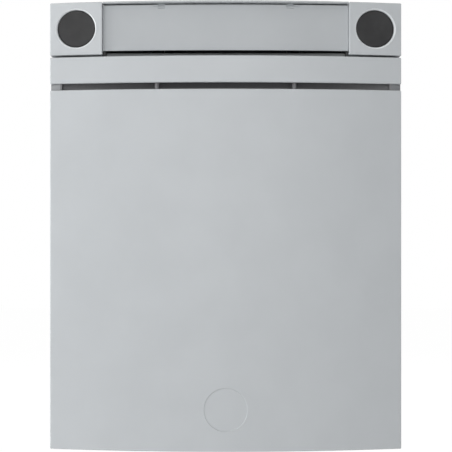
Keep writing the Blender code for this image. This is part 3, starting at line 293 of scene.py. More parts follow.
def make_materials():
    """Every finish of the unit, by the name that the pieces ask for."""
    return {
        "front": moulded_front("moulded_abs_light_grey", "#c0c4c7", "#bdc1c4"),
        # The flap's rest rail: the same ABS in a darker grey.
        "rest": moulded_front("moulded_abs_rail_grey", "#9b9ea0", "#96999b"),
        # The bores' chamfers: a paler, smoother grey ABS; the paleness is a painted highlight where the
        # chamfer catches the top light.
        "ring": moulded_front("polished_chamfer_grey", "#d9dddf", "#d6dadc", 0.3),
        # The flap's ABS is a slightly darker grey than the front; part of that darkness is painted shade for
        # its setback under the lip.
        "flap": moulded_front("moulded_abs_flap_grey", "#b3b7ba", "#b0b4b7"),
        "case": powder_coat("powder_coated_steel_grey", "#bcc0c3", "#b6babd"),
        "dark": dark_moulding("glass_filled_nylon_black", "#2b2b2d", "#323234", 0.55),
        # The closing wedges at the vent slot's ends: ABS in a mid grey, darker than the case; the darkness is
        # painted shade for the slot's recessed ends.
        "wedge": moulded_front("moulded_slot_end_grey", "#808285", "#7b7e80"),
        "vent": dark_moulding("moulded_vent_panel_grey", "#717173", "#78787a", 0.6),
        "button": satin_button(),
        "zinc": zinc_plate(),
        "spring": drawn_metal("drawn_spring_steel", "#a9abae", "#8e9093", 0.28),
        "brass": drawn_metal("turned_brass", "#c9a45c", "#b08c48", 0.26),
        "copper": drawn_metal("tinned_copper_bar", "#c98a63", "#b4744f", 0.3),
        "screw": drawn_metal("zinc_plated_screw_steel", "#b9bcbf", "#9fa2a6", 0.3),
        "rubber": moulded_rubber(),
        "film": wrap_film(),
        "board": board_mask(),
        "red_sheath": cable_sheath("silicone_sheath_red", "#a8231c", "#b5352c"),
        "black_sheath": cable_sheath("silicone_sheath_black", "#1d1d1f", "#2a2a2c"),
        "fuse_body": dark_moulding("ceramic_fuse_body", "#d8d4c8", "#cfcabc", 0.35),
    }


# --- Mesh helpers --------------------------------------------------------------------------------
def new_object(name, data):
    """An object in the scene with this mesh, lamp or camera."""
    obj = bpy.data.objects.new(name, data)
    bpy.context.scene.collection.objects.link(obj)
    return obj


def discard(obj):
    """Removes an object and its mesh."""
    mesh = obj.data
    bpy.data.objects.remove(obj)
    bpy.data.meshes.remove(mesh)


def make_object(name, bm, material, smooth_angle=35):
    """Turns a bmesh into an object with faces pointing out, smooth except across sharp edges."""
    bmesh.ops.recalc_face_normals(bm, faces=bm.faces)
    mesh = bpy.data.meshes.new(name)
    bm.to_mesh(mesh)
    bm.free()
    mesh.shade_smooth()
    mesh.set_sharp_from_angle(angle=math.radians(smooth_angle))
    if material:
        mesh.materials.append(material)
    return new_object(name, mesh)


def bake_down(obj):
    """Replaces an object's mesh with its evaluated one, and drops its modifiers."""
    graph = bpy.context.evaluated_depsgraph_get()
    mesh = bpy.data.meshes.new_from_object(obj.evaluated_get(graph), depsgraph=graph)
    old = obj.data
    obj.modifiers.clear()
    obj.data = mesh
    bpy.data.meshes.remove(old)
    mesh.name = obj.name
    return obj


def boolean(target, tool, operation="DIFFERENCE"):
    """Cuts or joins at once, and removes the tool."""
    modifier = target.modifiers.new("boolean", "BOOLEAN")
    modifier.object = tool
    modifier.operation = operation
    modifier.solver = "EXACT"
    bake_down(target)
    discard(tool)
    return target


def round_edges(obj, width, segments=3, angle=35):
    """Rounds the edges sharper than angle."""
    bevel = obj.modifiers.new("edges", "BEVEL")
    bevel.width = width
    bevel.segments = segments
    bevel.limit_method = "ANGLE"
    bevel.angle_limit = math.radians(angle)
    return bake_down(obj)


def repaint(obj, material):
    """Takes an object's materials off and gives it this one."""
    obj.data.materials.clear()
    obj.data.materials.append(material)


def soften(obj, width=0.0, segments=3, angle=35):
    """Rounds the edges sharper than angle, and evens the shading of the flats between them."""
    if width:
        round_edges(obj, width, segments, angle)
    obj.data.shade_smooth()
    obj.data.set_sharp_from_angle(angle=math.radians(angle))
    weights = obj.modifiers.new("weights", "WEIGHTED_NORMAL")
    weights.keep_sharp = True
    weights.weight = 100
    return bake_down(obj)


def add_box(bm, low, high):
    low, high = Vector(low), Vector(high)
    place = Matrix.Translation((low + high) / 2) @ Matrix.Diagonal((*(high - low), 1.0))
    bmesh.ops.create_cube(bm, size=1.0, matrix=place)


def box(name, low, high, material=None):
    bm = bmesh.new()
    add_box(bm, low, high)
    return make_object(name, bm, material)


def boxes(name, corner_pairs, material=None):
    bm = bmesh.new()
    for low, high in corner_pairs:
        add_box(bm, low, high)
    return make_object(name, bm, material)


def sliced_box(name, low, high, columns, material=None):
    """A box cut into equal columns along x, so that it can be bowed."""
    bm = bmesh.new()
    add_box(bm, low, high)
    for i in range(1, columns):
        x = low[0] + (high[0] - low[0]) * i / columns
        geometry = bm.verts[:] + bm.edges[:] + bm.faces[:]
        bmesh.ops.bisect_plane(bm, geom=geometry, plane_co=(x, 0, 0), plane_no=(1, 0, 0))
    return make_object(name, bm, material)


def prism(name, outline, axis, start, end, material=None):
    """Sweeps a closed 2-D outline along x, y or z."""
    place = {
        "x": lambda a, b, t: (t, a, b),
        "y": lambda a, b, t: (a, t, b),
        "z": lambda a, b, t: (a, b, t),
    }[axis]
    bm = bmesh.new()
    near = [bm.verts.new(place(a, b, start)) for a, b in outline]
    far = [bm.verts.new(place(a, b, end)) for a, b in outline]
    bm.faces.new(near)
    bm.faces.new(reversed(far))
    for i, vert in enumerate(near):
        j = (i + 1) % len(near)
        bm.faces.new((vert, far[i], far[j], near[j]))
    return make_object(name, bm, material)


def stadium(length, width, steps=10):
    """Outline of a slot with round ends, its long way first."""
    radius = width / 2
    straight = length / 2 - radius
    points = []
    for end, start in ((1, -math.pi / 2), (-1, math.pi / 2)):
        for i in range(steps + 1):
            angle = start + math.pi * i / steps
            points.append((end * straight + radius * math.cos(angle), radius * math.sin(angle)))
    return points


def rounded(outline, radii, steps=6):
    """The outline with an arc of the given radius at each corner number in radii."""
    points = [Vector(p) for p in outline]
    result = []
    for i, corner in enumerate(points):
        if i not in radii:
            result.append(tuple(corner))
            continue
        before = (points[i - 1] - corner).normalized()
        after = (points[(i + 1) % len(points)] - corner).normalized()
        half = before.angle(after) / 2
        start = corner + before * (radii[i] / math.tan(half))
        end = corner + after * (radii[i] / math.tan(half))
        centre = corner + (before + after).normalized() * (radii[i] / math.sin(half))
        first, last = start - centre, end - centre
        turn = first.angle_signed(last)
        for k in range(steps + 1):
            angle = math.atan2(first.y, first.x) - turn * k / steps
            result.append((centre.x + radii[i] * math.cos(angle), centre.y + radii[i] * math.sin(angle)))
    return result


def facing(direction, place):
    """A frame at place whose own +Z points along direction."""
    turn = Vector(direction).to_track_quat("Z", "Y").to_matrix().to_4x4()
    return Matrix.Translation(place) @ turn


def add_turned(bm, profile, frame_at, segments=48):
    """Turns (radius, height) points about the frame's own Z. A radius of 0 closes on the axis."""
    rings = []
    for radius, height in profile:
        count = 1 if radius == 0 else segments
        ring = []
        for i in range(count):
            angle = 2 * math.pi * i / segments
            point = Vector((radius * math.cos(angle), radius * math.sin(angle), height))
            ring.append(bm.verts.new(frame_at @ point))
        rings.append(ring)
    for lower, upper in zip(rings, rings[1:]):
        for i in range(segments):
            j = (i + 1) % segments
            corners = [lower[i % len(lower)], lower[j % len(lower)]]
            corners += [upper[j % len(upper)], upper[i % len(upper)]]
            bm.faces.new(list(dict.fromkeys(corners)))


def turned(name, profile, frame_at, material=None, segments=48):
    """One piece turned from (radius, height) points."""
    bm = bmesh.new()
    add_turned(bm, profile, frame_at, segments)
    return make_object(name, bm, material)


def rod_profile(radius, low, high):
    """Profile points of a plain rod with flat ends."""
    return [(0, low), (radius, low), (radius, high), (0, high)]


def rounded_step(radius, height, round_, up=1, steps=5):
    """Profile points of a rim of that radius, rounded towards its own end face."""
    points = []
    for i in range(steps + 1):
        angle = math.pi / 2 * i / steps
        out = radius - round_ + round_ * math.cos(angle)
        points.append((out, height - up * round_ + up * round_ * math.sin(angle)))
    return points


def side_name(side):
    return "left" if side < 0 else "right"


def span(side, inner, outer):
    """Low and high x between two distances from the middle, on one side."""
    return tuple(sorted((side * inner, side * outer)))


def place_piece(obj, body, slot, *nodes):
    """Hands a finished piece to the frame: it rides on body and stands for these CAD nodes."""
    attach(obj, body)
    if nodes:
        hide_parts(*nodes)
    return obj


# --- Geometry Nodes ------------------------------------------------------------------------------
def new_geometry_tree(name, sizes):
    """A tree with a Geometry input, one number input for each size, and a Geometry output."""
    tree = bpy.data.node_groups.new(name, "GeometryNodeTree")
    tree.interface.new_socket("Geometry", in_out="INPUT", socket_type="NodeSocketGeometry")
    for label in sizes:
        kind = "NodeSocketMaterial" if label == "Material" else "NodeSocketFloat"
        tree.interface.new_socket(label, in_out="INPUT", socket_type=kind)
    tree.interface.new_socket("Geometry", in_out="OUTPUT", socket_type="NodeSocketGeometry")
    return tree, tree.nodes.new("NodeGroupInput"), tree.nodes.new("NodeGroupOutput")


def end_tree(tree, given, result, geometry):
    """Makes the instances real, gives them the Material input and sends them to the output."""
    real = add(tree, "GeometryNodeRealizeInstances", {0: geometry})
    inputs = {0: real.outputs[0], "Material": given.outputs["Material"]}
    coated = add(tree, "GeometryNodeSetMaterial", inputs)
    tree.links.new(coated.outputs[0], result.inputs[0])
    return tree


def run_tree(obj, tree, **values):
    """Runs a tree on obj with its inputs set by identifier, and keeps the result as a plain mesh."""
    modifier = obj.modifiers.new(tree.name, "NODES")
    modifier.node_group = tree
    for item in tree.interface.items_tree:
        if item.item_type == "SOCKET" and item.in_out == "INPUT" and item.name in values:
            modifier[item.identifier] = values[item.name]
    return bake_down(obj)


def math_node(tree, operation, first, second=0.0):
    return add(tree, "ShaderNodeMath", {0: first, 1: second}, operation=operation).outputs[0]


def make_bow_tree():
    """Bends a flat-fronted piece to an arc in plan. Points at or ahead of Front move by the arc's
    whole sag, points at or behind Rear stay, and those between move in proportion."""
    tree, given, result = new_geometry_tree("bow_front", ("Radius", "Front", "Rear", "Material"))
    position = tree.nodes.new("GeometryNodeInputPosition").outputs[0]
    parts = add(tree, "ShaderNodeSeparateXYZ", {0: position})
    radius = given.outputs["Radius"]
    radius_squared = math_node(tree, "POWER", radius, 2.0)
    square = math_node(tree, "SUBTRACT", radius_squared, math_node(tree, "POWER", parts.outputs["X"], 2.0))
    sag = math_node(tree, "SUBTRACT", radius, math_node(tree, "SQRT", square))
    share = add(
        tree,
        "ShaderNodeMapRange",
        {
            "Value": parts.outputs["Y"],
            "From Min": given.outputs["Front"],
            "From Max": given.outputs["Rear"],
            "To Min": 1.0,
            "To Max": 0.0,
        },
    ).outputs["Result"]
    offset = add(tree, "ShaderNodeCombineXYZ", {"Y": math_node(tree, "MULTIPLY", sag, share)}).outputs[0]
    moved = add(tree, "GeometryNodeSetPosition", {"Geometry": given.outputs["Geometry"], "Offset": offset})
    return end_tree(tree, given, result, moved.outputs[0])


def middle_point(tree, value):
    """The tree's three Middle inputs as one vector."""
    inputs = {axis: value[f"Middle {axis}"] for axis in "XYZ"}
    return add(tree, "ShaderNodeCombineXYZ", inputs).outputs[0]


def make_perforate_tree(name, template):
    """Cuts a grid of copies of the template out of a piece. Pitches run along the template's x and y."""
    sizes = ("Pitch 1", "Count 1", "Pitch 2", "Count 2", "Middle X", "Middle Y", "Middle Z", "Turn X")
    tree, given, result = new_geometry_tree(name, (*sizes, "Material"))
    value = given.outputs
    steps_1 = math_node(tree, "SUBTRACT", value["Count 1"], 1.0)
    steps_2 = math_node(tree, "SUBTRACT", value["Count 2"], 1.0)
    grid = add(
        tree,
        "GeometryNodeMeshGrid",
        {
            "Size X": math_node(tree, "MULTIPLY", value["Pitch 1"], steps_1),
            "Size Y": math_node(tree, "MULTIPLY", value["Pitch 2"], steps_2),
            "Vertices X": value["Count 1"],
            "Vertices Y": value["Count 2"],
        },
    )
    info = add(tree, "GeometryNodeObjectInfo", {"Object": template})
    inputs = {"Points": grid.outputs["Mesh"], "Instance": info.outputs["Geometry"]}
    copies = add(tree, "GeometryNodeInstanceOnPoints", inputs)
    middle = middle_point(tree, value)
    turn = add(tree, "ShaderNodeCombineXYZ", {"X": value["Turn X"]})
    placed = add(
        tree,
        "GeometryNodeTransform",
        {"Geometry": copies.outputs[0], "Translation": middle, "Rotation": turn.outputs[0]},
    )
    cutters = add(tree, "GeometryNodeRealizeInstances", {0: placed.outputs[0]})
    inputs = {"Mesh 1": given.outputs["Geometry"]}
    cut = add(tree, "GeometryNodeMeshBoolean", inputs, operation="DIFFERENCE", solver="EXACT")
    tree.links.new(cutters.outputs[0], cut.inputs["Mesh 2"])
    return end_tree(tree, given, result, cut.outputs[0])


def make_scatter_tree(name, template):
    """Sets a copy of the template object on every point, turned to the point's 'turn' attribute."""
    tree, given, result = new_geometry_tree(name, ("Size", "Material"))
    info = add(tree, "GeometryNodeObjectInfo", {"Object": template})
    turn = add(tree, "GeometryNodeInputNamedAttribute", {"Name": "turn"}, data_type="FLOAT_VECTOR")
    points = add(tree, "GeometryNodeMeshToPoints", {"Mesh": given.outputs["Geometry"]})
    copies = add(
        tree,
        "GeometryNodeInstanceOnPoints",
        {"Points": points.outputs[0], "Instance": info.outputs["Geometry"], "Rotation": turn.outputs[0]},
    )
    tree.links.new(given.outputs["Size"], copies.inputs["Scale"])
    return end_tree(tree, given, result, copies.outputs[0])


def scatter(name, template, places, material, size=1.0):
    """Copies of template at (place, direction) pairs, as one plain mesh. It leaves the template."""
    mesh = bpy.data.meshes.new(name)
    mesh.from_pydata([tuple(place) for place, _ in places], [], [])
    turns = mesh.attributes.new("turn", "FLOAT_VECTOR", "POINT")
    for item, (_, direction) in zip(turns.data, places):
        item.vector = Vector(direction).to_track_quat("Z", "Y").to_euler()
    obj = new_object(name, mesh)
    run_tree(obj, make_scatter_tree(f"set_{name}", template), Size=size, Material=material)
    return obj


def screw_template(head_radius, head_height, recess_radius):
    """Button-head screw with a hexagon recess, standing on its point with its head along +Z."""
    head = [(0, -head_height), (head_radius, -head_height), (head_radius, -0.1 * head_height)]
    steps = 5
    for i in range(1, steps):
        angle = math.pi / 2 * i / steps
        head.append((head_radius * math.cos(angle), head_height * math.sin(angle)))
    head.append((0, head_height))
    screw = turned("screw_template", head, Matrix(), segments=24)
    hexagon = rod_profile(recess_radius, 0.2 * head_height, 2 * head_height)
    return boolean(screw, turned("screw_recess", hexagon, Matrix(), segments=6))


# --- Front pieces --------------------------------------------------------------------------------
COLUMNS = 96
FRONT_ZONE = MOULDING + EDGE_ROUND  # everything this near the flat front keeps its wall when bowed
ROOT_DEPTH = 0.8 * MOULDING  # ribs and studs start this deep in the wall, so that they join it


def flat_shell(name, z_low, z_high, open_below=False):
    """Front wall with its side, top and bottom walls, flat, open to the rear, outer edges rounded."""
    shell = sliced_box(name, (-HALF_WIDTH, APEX_Y, z_low), (HALF_WIDTH, RIM_Y, z_high), COLUMNS)
    round_edges(shell, EDGE_ROUND, segments=4)
    wall = HALF_WIDTH - MOULDING
    bottom = z_low - MOULDING if open_below else z_low + MOULDING
    hollow = sliced_box(
        "hollow",
        (-wall, APEX_Y + MOULDING, bottom),
        (wall, RIM_Y + 2 * MOULDING, z_high - MOULDING),
        COLUMNS,
    )
    return boolean(shell, hollow)


def bow(obj, bow_tree, material, radius=FRONT_RADIUS, front=None, rear=None):
    """Bends a flat-fronted piece to the front's arc and gives it its material."""
    front = APEX_Y + FRONT_ZONE if front is None else front
    rear = RIM_Y if rear is None else rear
    return run_tree(obj, bow_tree, Radius=radius, Front=front, Rear=rear, Material=material)


def make_cover(mats, bow_tree):
    """Main cover: bowed shell with a chamfered blank badge seat, studs and stiffening ribs inside."""
    bottom, top = COVER_LOW.z, COVER_HIGH.z
    cover = bow(flat_shell("cover_panel", bottom, top), bow_tree, mats["front"])
    badge = facing((0, -1, 0), (0, APEX_Y, bottom + BADGE_HEIGHT))
    chamfer = 0.5 * MM
    profile = [
        (0, -BADGE_DEPTH),
        (BADGE_RADIUS - chamfer, -BADGE_DEPTH),
        (BADGE_RADIUS, chamfer - BADGE_DEPTH),
        (BADGE_RADIUS + chamfer, MM),
        (0, MM),
    ]
    boolean(cover, turned("badge_seat", profile, badge, segments=96))
    soften(cover)
    place_piece(cover, "front_cover", "front_plastic", "front_cover")
    ribs = sliced_ribs(bottom, top)
    bow(ribs, bow_tree, mats["front"], rear=APEX_Y + 2 * FRONT_ZONE + FRONT_BULGE)
    place_piece(ribs, "front_cover", "front_plastic")
    make_cover_studs(mats)


def make_cover_studs(mats):
    """Studs inside the cover, one for each clip: a coned foot, a shank and a chamfered tip."""
    foot, shank, tip = 5 * MM, 3 * MM, 2.2 * MM
    foot_height, chamfer = 3 * MM, MM
    bm = bmesh.new()
    for name in ("left_lower", "left_upper", "right_lower", "right_upper"):
        low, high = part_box(f"{name}_cover_clip")
        x = math.copysign(HALF_WIDTH - 18 * MM, low.x)
        z = (low.z + high.z) / 2
        start = front_y(x) + ROOT_DEPTH
        reach = COVER_HIGH.y - start
        profile = [(0, 0), (foot, 0), (shank, foot_height), (shank, reach - chamfer)]
        profile += [(tip, reach), (0, reach)]
        add_turned(bm, profile, facing((0, 1, 0), (x, start, z)), 32)
    studs = make_object("cover_studs", bm, mats["front"])
    place_piece(studs, "front_cover", "front_plastic")


def sliced_ribs(bottom, top):
    """Stiffening ribs behind the cover's wall, as thin flat boxes ready to be bowed."""
    depth = 5 * MM
    thick = 1.4 * MM
    rows, columns = 5, 8
    reach_x = HALF_WIDTH - 30 * MM
    low_z, high_z = bottom + 15 * MM, top - 22 * MM
    y_low, y_high = APEX_Y + ROOT_DEPTH, APEX_Y + MOULDING + depth
    bm = bmesh.new()
    for i in range(columns + 1):
        x = -reach_x + 2 * reach_x * i / columns
        add_box(bm, (x - thick / 2, y_low, low_z), (x + thick / 2, y_high, high_z))
    slices = 48
    for i in range(rows + 1):
        z = low_z + (high_z - low_z) * i / rows
        for k in range(slices):
            x = -reach_x + 2 * reach_x * k / slices
            add_box(bm, (x, y_low, z - thick / 2), (x + 2 * reach_x / slices, y_high, z + thick / 2))
    bmesh.ops.remove_doubles(bm, verts=bm.verts, dist=0.01 * MM)
    doubled = [f for f in bm.faces if len({tuple(v.co) for v in f.verts}) < 4]
    bmesh.ops.delete(bm, geom=doubled, context="FACES")
    return make_object("cover_ribs", bm, None)


def make_fascia(mats, bow_tree):
    """Bowed band over the vent slot, open below."""
    fascia = flat_shell("fascia_band", FASCIA_BOTTOM, FASCIA_HIGH.z, open_below=True)
    bow(fascia, bow_tree, mats["front"])
    soften(fascia)
    place_piece(fascia, "root", "front_plastic", "upper_fascia")


def make_vent_grille(mats):
    """Dark panel behind the slot with two rows of air slots, and two round-nosed ribs in the slot."""
    low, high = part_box("vent_panel")
    back = high.y
    front = back - SHEET
    panel = box("vent_grille", (low.x, front, low.z), (high.x, back, high.z))
    slots, slot_length, slot_width = 12, 22 * MM, 4 * MM
    width = 2 * (high.x - 12 * MM)
    height = FASCIA_HIGH.z - FASCIA_BOTTOM
    z_low, z_high = FASCIA_BOTTOM + 0.35 * height, FASCIA_BOTTOM + 0.7 * height
    cutter = prism("air_slot", stadium(slot_length, slot_width), "z", -2 * SHEET, 2 * SHEET)
    tree = make_perforate_tree("perforate_panel", cutter)
    run_tree(
        panel,
        tree,
        **{"Pitch 1": width / slots, "Count 1": float(slots), "Pitch 2": z_high - z_low, "Count 2": 2.0},
        **{"Middle X": 0.0, "Middle Y": (front + back) / 2, "Middle Z": (z_low + z_high) / 2},
        **{"Turn X": math.pi / 2},
        Material=mats["vent"],
    )
    discard(cutter)
    half, setback = 2.4 * MM, 4 * MM
    nose = front_y(RIB_X) + setback
    low_z, high_z = COVER_HIGH.z + SEAT_GAP, FASCIA_BOTTOM + 4 * MM
    for side in (-1, 1):
        outline = [(side * RIB_X + half, front + MM), (side * RIB_X - half, front + MM)]
        for i in range(13):
            angle = math.pi * i / 12
            outline.append((side * RIB_X - half * math.cos(angle), nose + half - half * math.sin(angle)))
        boolean(panel, prism("rib", outline, "z", low_z, high_z, mats["vent"]), "UNION")
        inner, outer = span(side, high.x - 2 * MM, high.x)
        ahead = front_y(high.x) + 1.5 * MM
        lip = box("lip", (inner, ahead, low_z), (outer, front + MM, high_z), mats["vent"])
        boolean(panel, lip, "UNION")
        make_slot_end(side, (inner + outer) / 2 * side, ahead + 0.5 * MM, mats)
    soften(panel)
    place_piece(panel, "root", "dark_plastic", "vent_panel")


def make_slot_end(side, start, ahead, mats):
    """Wedge that closes one end of the slot; it slopes back to the case's flange."""
    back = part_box("rear_housing")[0].y - SEAT_GAP
    outer = HALF_WIDTH - 0.5 * MM
    thin = 0.5 * MM
    outline = [(side * start, back), (side * start, ahead), (side * (start + 1.5 * MM), ahead)]
    outline += [(side * outer, back - thin), (side * outer, back)]
    bottom, top = COVER_HIGH.z + SEAT_GAP, FASCIA_BOTTOM - 0.2 * MM
    # The wedge's mid grey is painted shade that stands in for the shade at the slot's ends.
    wedge = prism(f"{side_name(side)}_slot_end", outline, "z", bottom, top, mats["wedge"])
    soften(wedge, 0.2 * MM, segments=2)
    place_piece(wedge, "root", "dark_plastic")


def make_flap_rest(mats):
    """Rail on the deck's front edge with a soft rounded top, behind the flap's bottom edge."""
    low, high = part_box("flap_rest")
    radius = (high.y - low.y) / 2
    middle = (high.y + low.y) / 2
    outline = [(high.y, low.z), (low.y, low.z)]
    for i in range(9):
        angle = math.pi * i / 8
        outline.append((middle - radius * math.cos(angle), high.z - radius + radius * math.sin(angle)))
    reach = high.x + 5 * MM
    rail = prism("flap_rest_rail", outline, "x", -reach, reach, mats["rest"])
    soften(rail, 0.3 * MM, segments=2, angle=60)
    place_piece(rail, "root", "front_plastic", "flap_rest")


def make_flap(mats, bow_tree):
    """Bowed flap, rounded all round, with hinge knuckles in front of its top edge."""
    apex = APEX_Y + FLAP_SETBACK
    back = apex + MOULDING
    half = FLAP_HALF + 0.2 * MM
    low = (-half, apex, FLAP_BOTTOM)
    high = (half, back, FLAP_TOP)
    flap = sliced_box("flap_panel", low, high, COLUMNS)
    round_edges(flap, 0.25 * MM)
    notch_half = 3.9 * MM
    notch_floor = HINGE_Z - KNUCKLE_RADIUS - 0.15 * MM
    for side in (-1, 1):
        middle = side * HINGE_X
        notch = box(
            "notch",
            (middle - notch_half, apex - MM, notch_floor),
            (middle + notch_half, back + MM, FLAP_TOP + MM),
        )
        boolean(flap, notch)
    bow(flap, bow_tree, mats["flap"], radius=FLAP_RADIUS, front=back, rear=back + 50 * MM)
    soften(flap)
    place_piece(flap, "service_flap", "front_plastic", "service_flap")
    bm = bmesh.new()
    radius, hole, length = KNUCKLE_RADIUS, MM, 6 * MM
    for side in (-1, 1):
        for way in (-1, 1):
            x = side * HINGE_X + way * (notch_half + 0.1 * MM)
            profile = [(hole, 0), (radius, 0), (radius, length), (hole, length), (hole, 0)]
            add_turned(bm, profile, facing((way, 0, 0), (x, HINGE_Y, HINGE_Z)), 24)
    bmesh.ops.remove_doubles(bm, verts=bm.verts, dist=0.01 * MM)
    knuckles = make_object("flap_knuckles", bm, mats["flap"])
    place_piece(knuckles, "service_flap", "front_plastic")


def make_hinge(side, mats):
    """Round-nosed bracket under the lip, and the steel pin through it."""
    name = side_name(side)
    low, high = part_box(f"{name}_hinge_bracket")
    radius = KNUCKLE_RADIUS
    outline = [(high.y, high.z), (HINGE_Y, high.z)]
    for i in range(25):
        angle = math.pi / 2 + math.pi * i / 24
        outline.append((HINGE_Y + radius * math.cos(angle), HINGE_Z + radius * math.sin(angle)))
    outline.append((high.y, HINGE_Z - radius))
    bracket = prism(f"{name}_bracket", outline, "x", low.x, high.x, mats["flap"])
    reach = high.x - low.x
    middle = ((low.x + high.x) / 2, HINGE_Y, HINGE_Z)
    along = facing((1, 0, 0), middle)
    boolean(bracket, turned("pin_hole", rod_profile(MM, -reach, reach), along, segments=32))
    soften(bracket, 0.08 * MM, segments=2)
    place_piece(bracket, "root", "dark_plastic", f"{name}_hinge_bracket")
    low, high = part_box(f"{name}_hinge_pin")
    half = (high.x - low.x) / 2
    radius = 0.7 * MM
    profile = [(0, -half), (0.7 * radius, -half), (radius, 0.3 * radius - half)]
    profile += [(r, -h) for r, h in reversed(profile)]
    pin = turned(f"{name}_pin", profile, along, mats["spring"], 24)
    place_piece(pin, "root", "spring_steel", f"{name}_hinge_pin")


def make_lid(mats):
    """Top sheet of the case, whose middle reaches forward as the bowed lip over the flap."""
    half_lip = FLAP_HALF
    back_y = LID_HIGH.y
    pocket_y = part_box("left_connector_shell")[1].y + 0.6 * MM
    outline = [(-HALF_WIDTH, back_y), (-HALF_WIDTH, pocket_y), (-half_lip, pocket_y)]
    steps = 64
    for i in range(steps + 1):
        x = -half_lip + 2 * half_lip * i / steps
        outline.append((x, front_y(x)))
    outline += [(half_lip, pocket_y), (HALF_WIDTH, pocket_y), (HALF_WIDTH, back_y)]
    lid = prism("lid_sheet", outline, "z", LID_LOW.z, LID_HIGH.z, mats["case"])
    round_edges(lid, 0.4 * MM)
    make_lid_screws(lid, mats)
    soften(lid)
    place_piece(lid, "root", "case_paint", "top_cover")


def make_lid_screws(lid, mats):
    """Countersinks the lid and sets flush screws in it."""
    radius, depth = 3.2 * MM, 1.2 * MM
    top = LID_HIGH.z
    edge_x, back_y = HALF_WIDTH - 8 * MM, LID_HIGH.y - 7 * MM
    places = [(side * edge_x, y) for side in (-1, 1) for y in (back_y, -60 * MM, -105 * MM)]
    places += [(side * 65 * MM, back_y) for side in (-1, 1)]
    bm = bmesh.new()
    for x, y in places:
        profile = [(0, -depth), (radius, -depth), (radius, -0.3 * MM), (radius + MM, 0.7 * MM)]
        add_turned(bm, [*profile, (0, 0.7 * MM)], Matrix.Translation((x, y, top)), 32)
    boolean(lid, make_object("countersinks", bm, None))
    head = turned("flat_screw", rod_profile(2.9 * MM, -0.8 * depth, 0), Matrix(), segments=32)
    recess = turned("screw_recess", rod_profile(1.4 * MM, -0.6 * depth, MM), Matrix(), segments=6)
    boolean(head, recess)
    soften(head, 0.15 * MM, segments=2)
    at = [((x, y, top - 0.25 * MM), (0, 0, 1)) for x, y in places]
    screws = scatter("lid_screws", head, at, mats["screw"])
    discard(head)
    place_piece(screws, "root", "galvanised")


# --- Case, rails and pads ------------------------------------------------------------------------
def make_case(mats):
    """Tub of folded sheet: flange round the front, open corners for the blocks, air slots in the floor."""
    low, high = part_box("rear_housing")
    flange = 11 * MM
    pocket_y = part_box("left_connector_shell")[1].y + SEAT_GAP
    case = box("case_tub", low, high)
    soften(case, 1.2 * MM, segments=4)
    ahead, above, outside = low.y - SHEET, high.z + SHEET, high.x + SHEET
    inner = (high.x - SHEET, high.y - SHEET)
    boolean(case, box("hollow", (-inner[0], low.y + SHEET, low.z + SHEET), (*inner, above)))
    mouth_x = high.x - flange
    boolean(case, box("mouth", (-mouth_x, ahead, low.z + flange), (mouth_x, pocket_y, above)))
    shoulder = FASCIA_HIGH.z - SEAT_GAP
    boolean(case, box("corners", (-outside, ahead, shoulder), (outside, pocket_y, above)))
    slots, pitch, slot_length, slot_width = 9.0, 22 * MM, 50 * MM, 3 * MM
    outline = [(b, a) for a, b in stadium(slot_length, slot_width)]
    cutter = prism("floor_slot", outline, "z", -2 * SHEET, 2 * SHEET)
    tree = make_perforate_tree("perforate_floor", cutter)
    run_tree(
        case,
        tree,
        **{"Pitch 1": pitch, "Count 1": slots, "Pitch 2": 0.0, "Count 2": 1.0, "Turn X": 0.0},
        **{"Middle X": 0.0, "Middle Y": (low.y + high.y) / 2, "Middle Z": low.z + SHEET / 2},
        Material=mats["case"],
    )
    discard(cutter)
    soften(case)
    place_piece(case, "root", "case_paint", "rear_housing")


def make_rails(mats):
    """Wall rail with its screw slots, and the hanger that hooks on it, both bent from zinc-plated sheet."""
    low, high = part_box("wall_rail")
    thick, half, reach = 3 * MM, -low.z, -low.y
    back = thick - reach
    outline = [(0, -half), (0, half), (back, half), (back, high.z), (-reach, high.z)]
    outline += [(-reach, half - thick), (-thick, half - thick), (-thick, -half)]
    bends = {1: thick + MM, 6: MM, 2: MM, 5: thick + MM}
    rail = prism("wall_rail_bent", rounded(outline, bends), "x", low.x, high.x, mats["zinc"])
    slot_length, slot_width = 14 * MM, 6.5 * MM
    cutter = prism("screw_slot", stadium(slot_length, slot_width), "y", -3 * thick, 3 * thick)
    for x in (-110 * MM, -45 * MM, 45 * MM, 110 * MM):
        tool = new_object("slot", cutter.data.copy())
        tool.data.transform(Matrix.Translation((x, 0, 0)))
        boolean(rail, tool)
    discard(cutter)
    soften(rail, 0.3 * MM, segments=2, angle=50)
    place_piece(rail, "root", "galvanised", "wall_rail")
    low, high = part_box("hanger_rail")
    thick, bend = 2.5 * MM, 0.8 * MM
    leg_under = half + 4 * SEAT_GAP
    hook = high.z - thick
    near, far = low.y + thick, high.y - thick
    outline = [(low.y, low.z), (near, low.z), (near, hook), (far, hook), (far, leg_under)]
    outline += [(high.y, leg_under), (high.y, high.z), (low.y, high.z)]
    bends = {2: bend, 3: bend, 6: thick + bend, 7: thick + bend}
    hanger = prism("hanger_bent", rounded(outline, bends), "x", low.x, high.x, mats["zinc"])
    soften(hanger, 0.3 * MM, segments=2, angle=50)
    place_piece(hanger, "root", "galvanised", "hanger_rail")
    radius, height = 3.2 * MM, 1.4 * MM
    dome = [(0, -0.3 * MM), (radius, -0.3 * MM)]
    dome += [(radius * math.cos(a), height * math.sin(a)) for a in (0.0, 0.3, 0.6, 0.9, 1.2)]
    rivet = turned("rivet", [*dome, (0, height)], Matrix(), segments=32)
    places = [((x * MM, near, low.z + 7 * MM), (0, 1, 0)) for x in range(-125, 126, 50)]
    rivets = scatter("hanger_rivets", rivet, places, mats["screw"])
    discard(rivet)
    place_piece(rivets, "root", "galvanised")


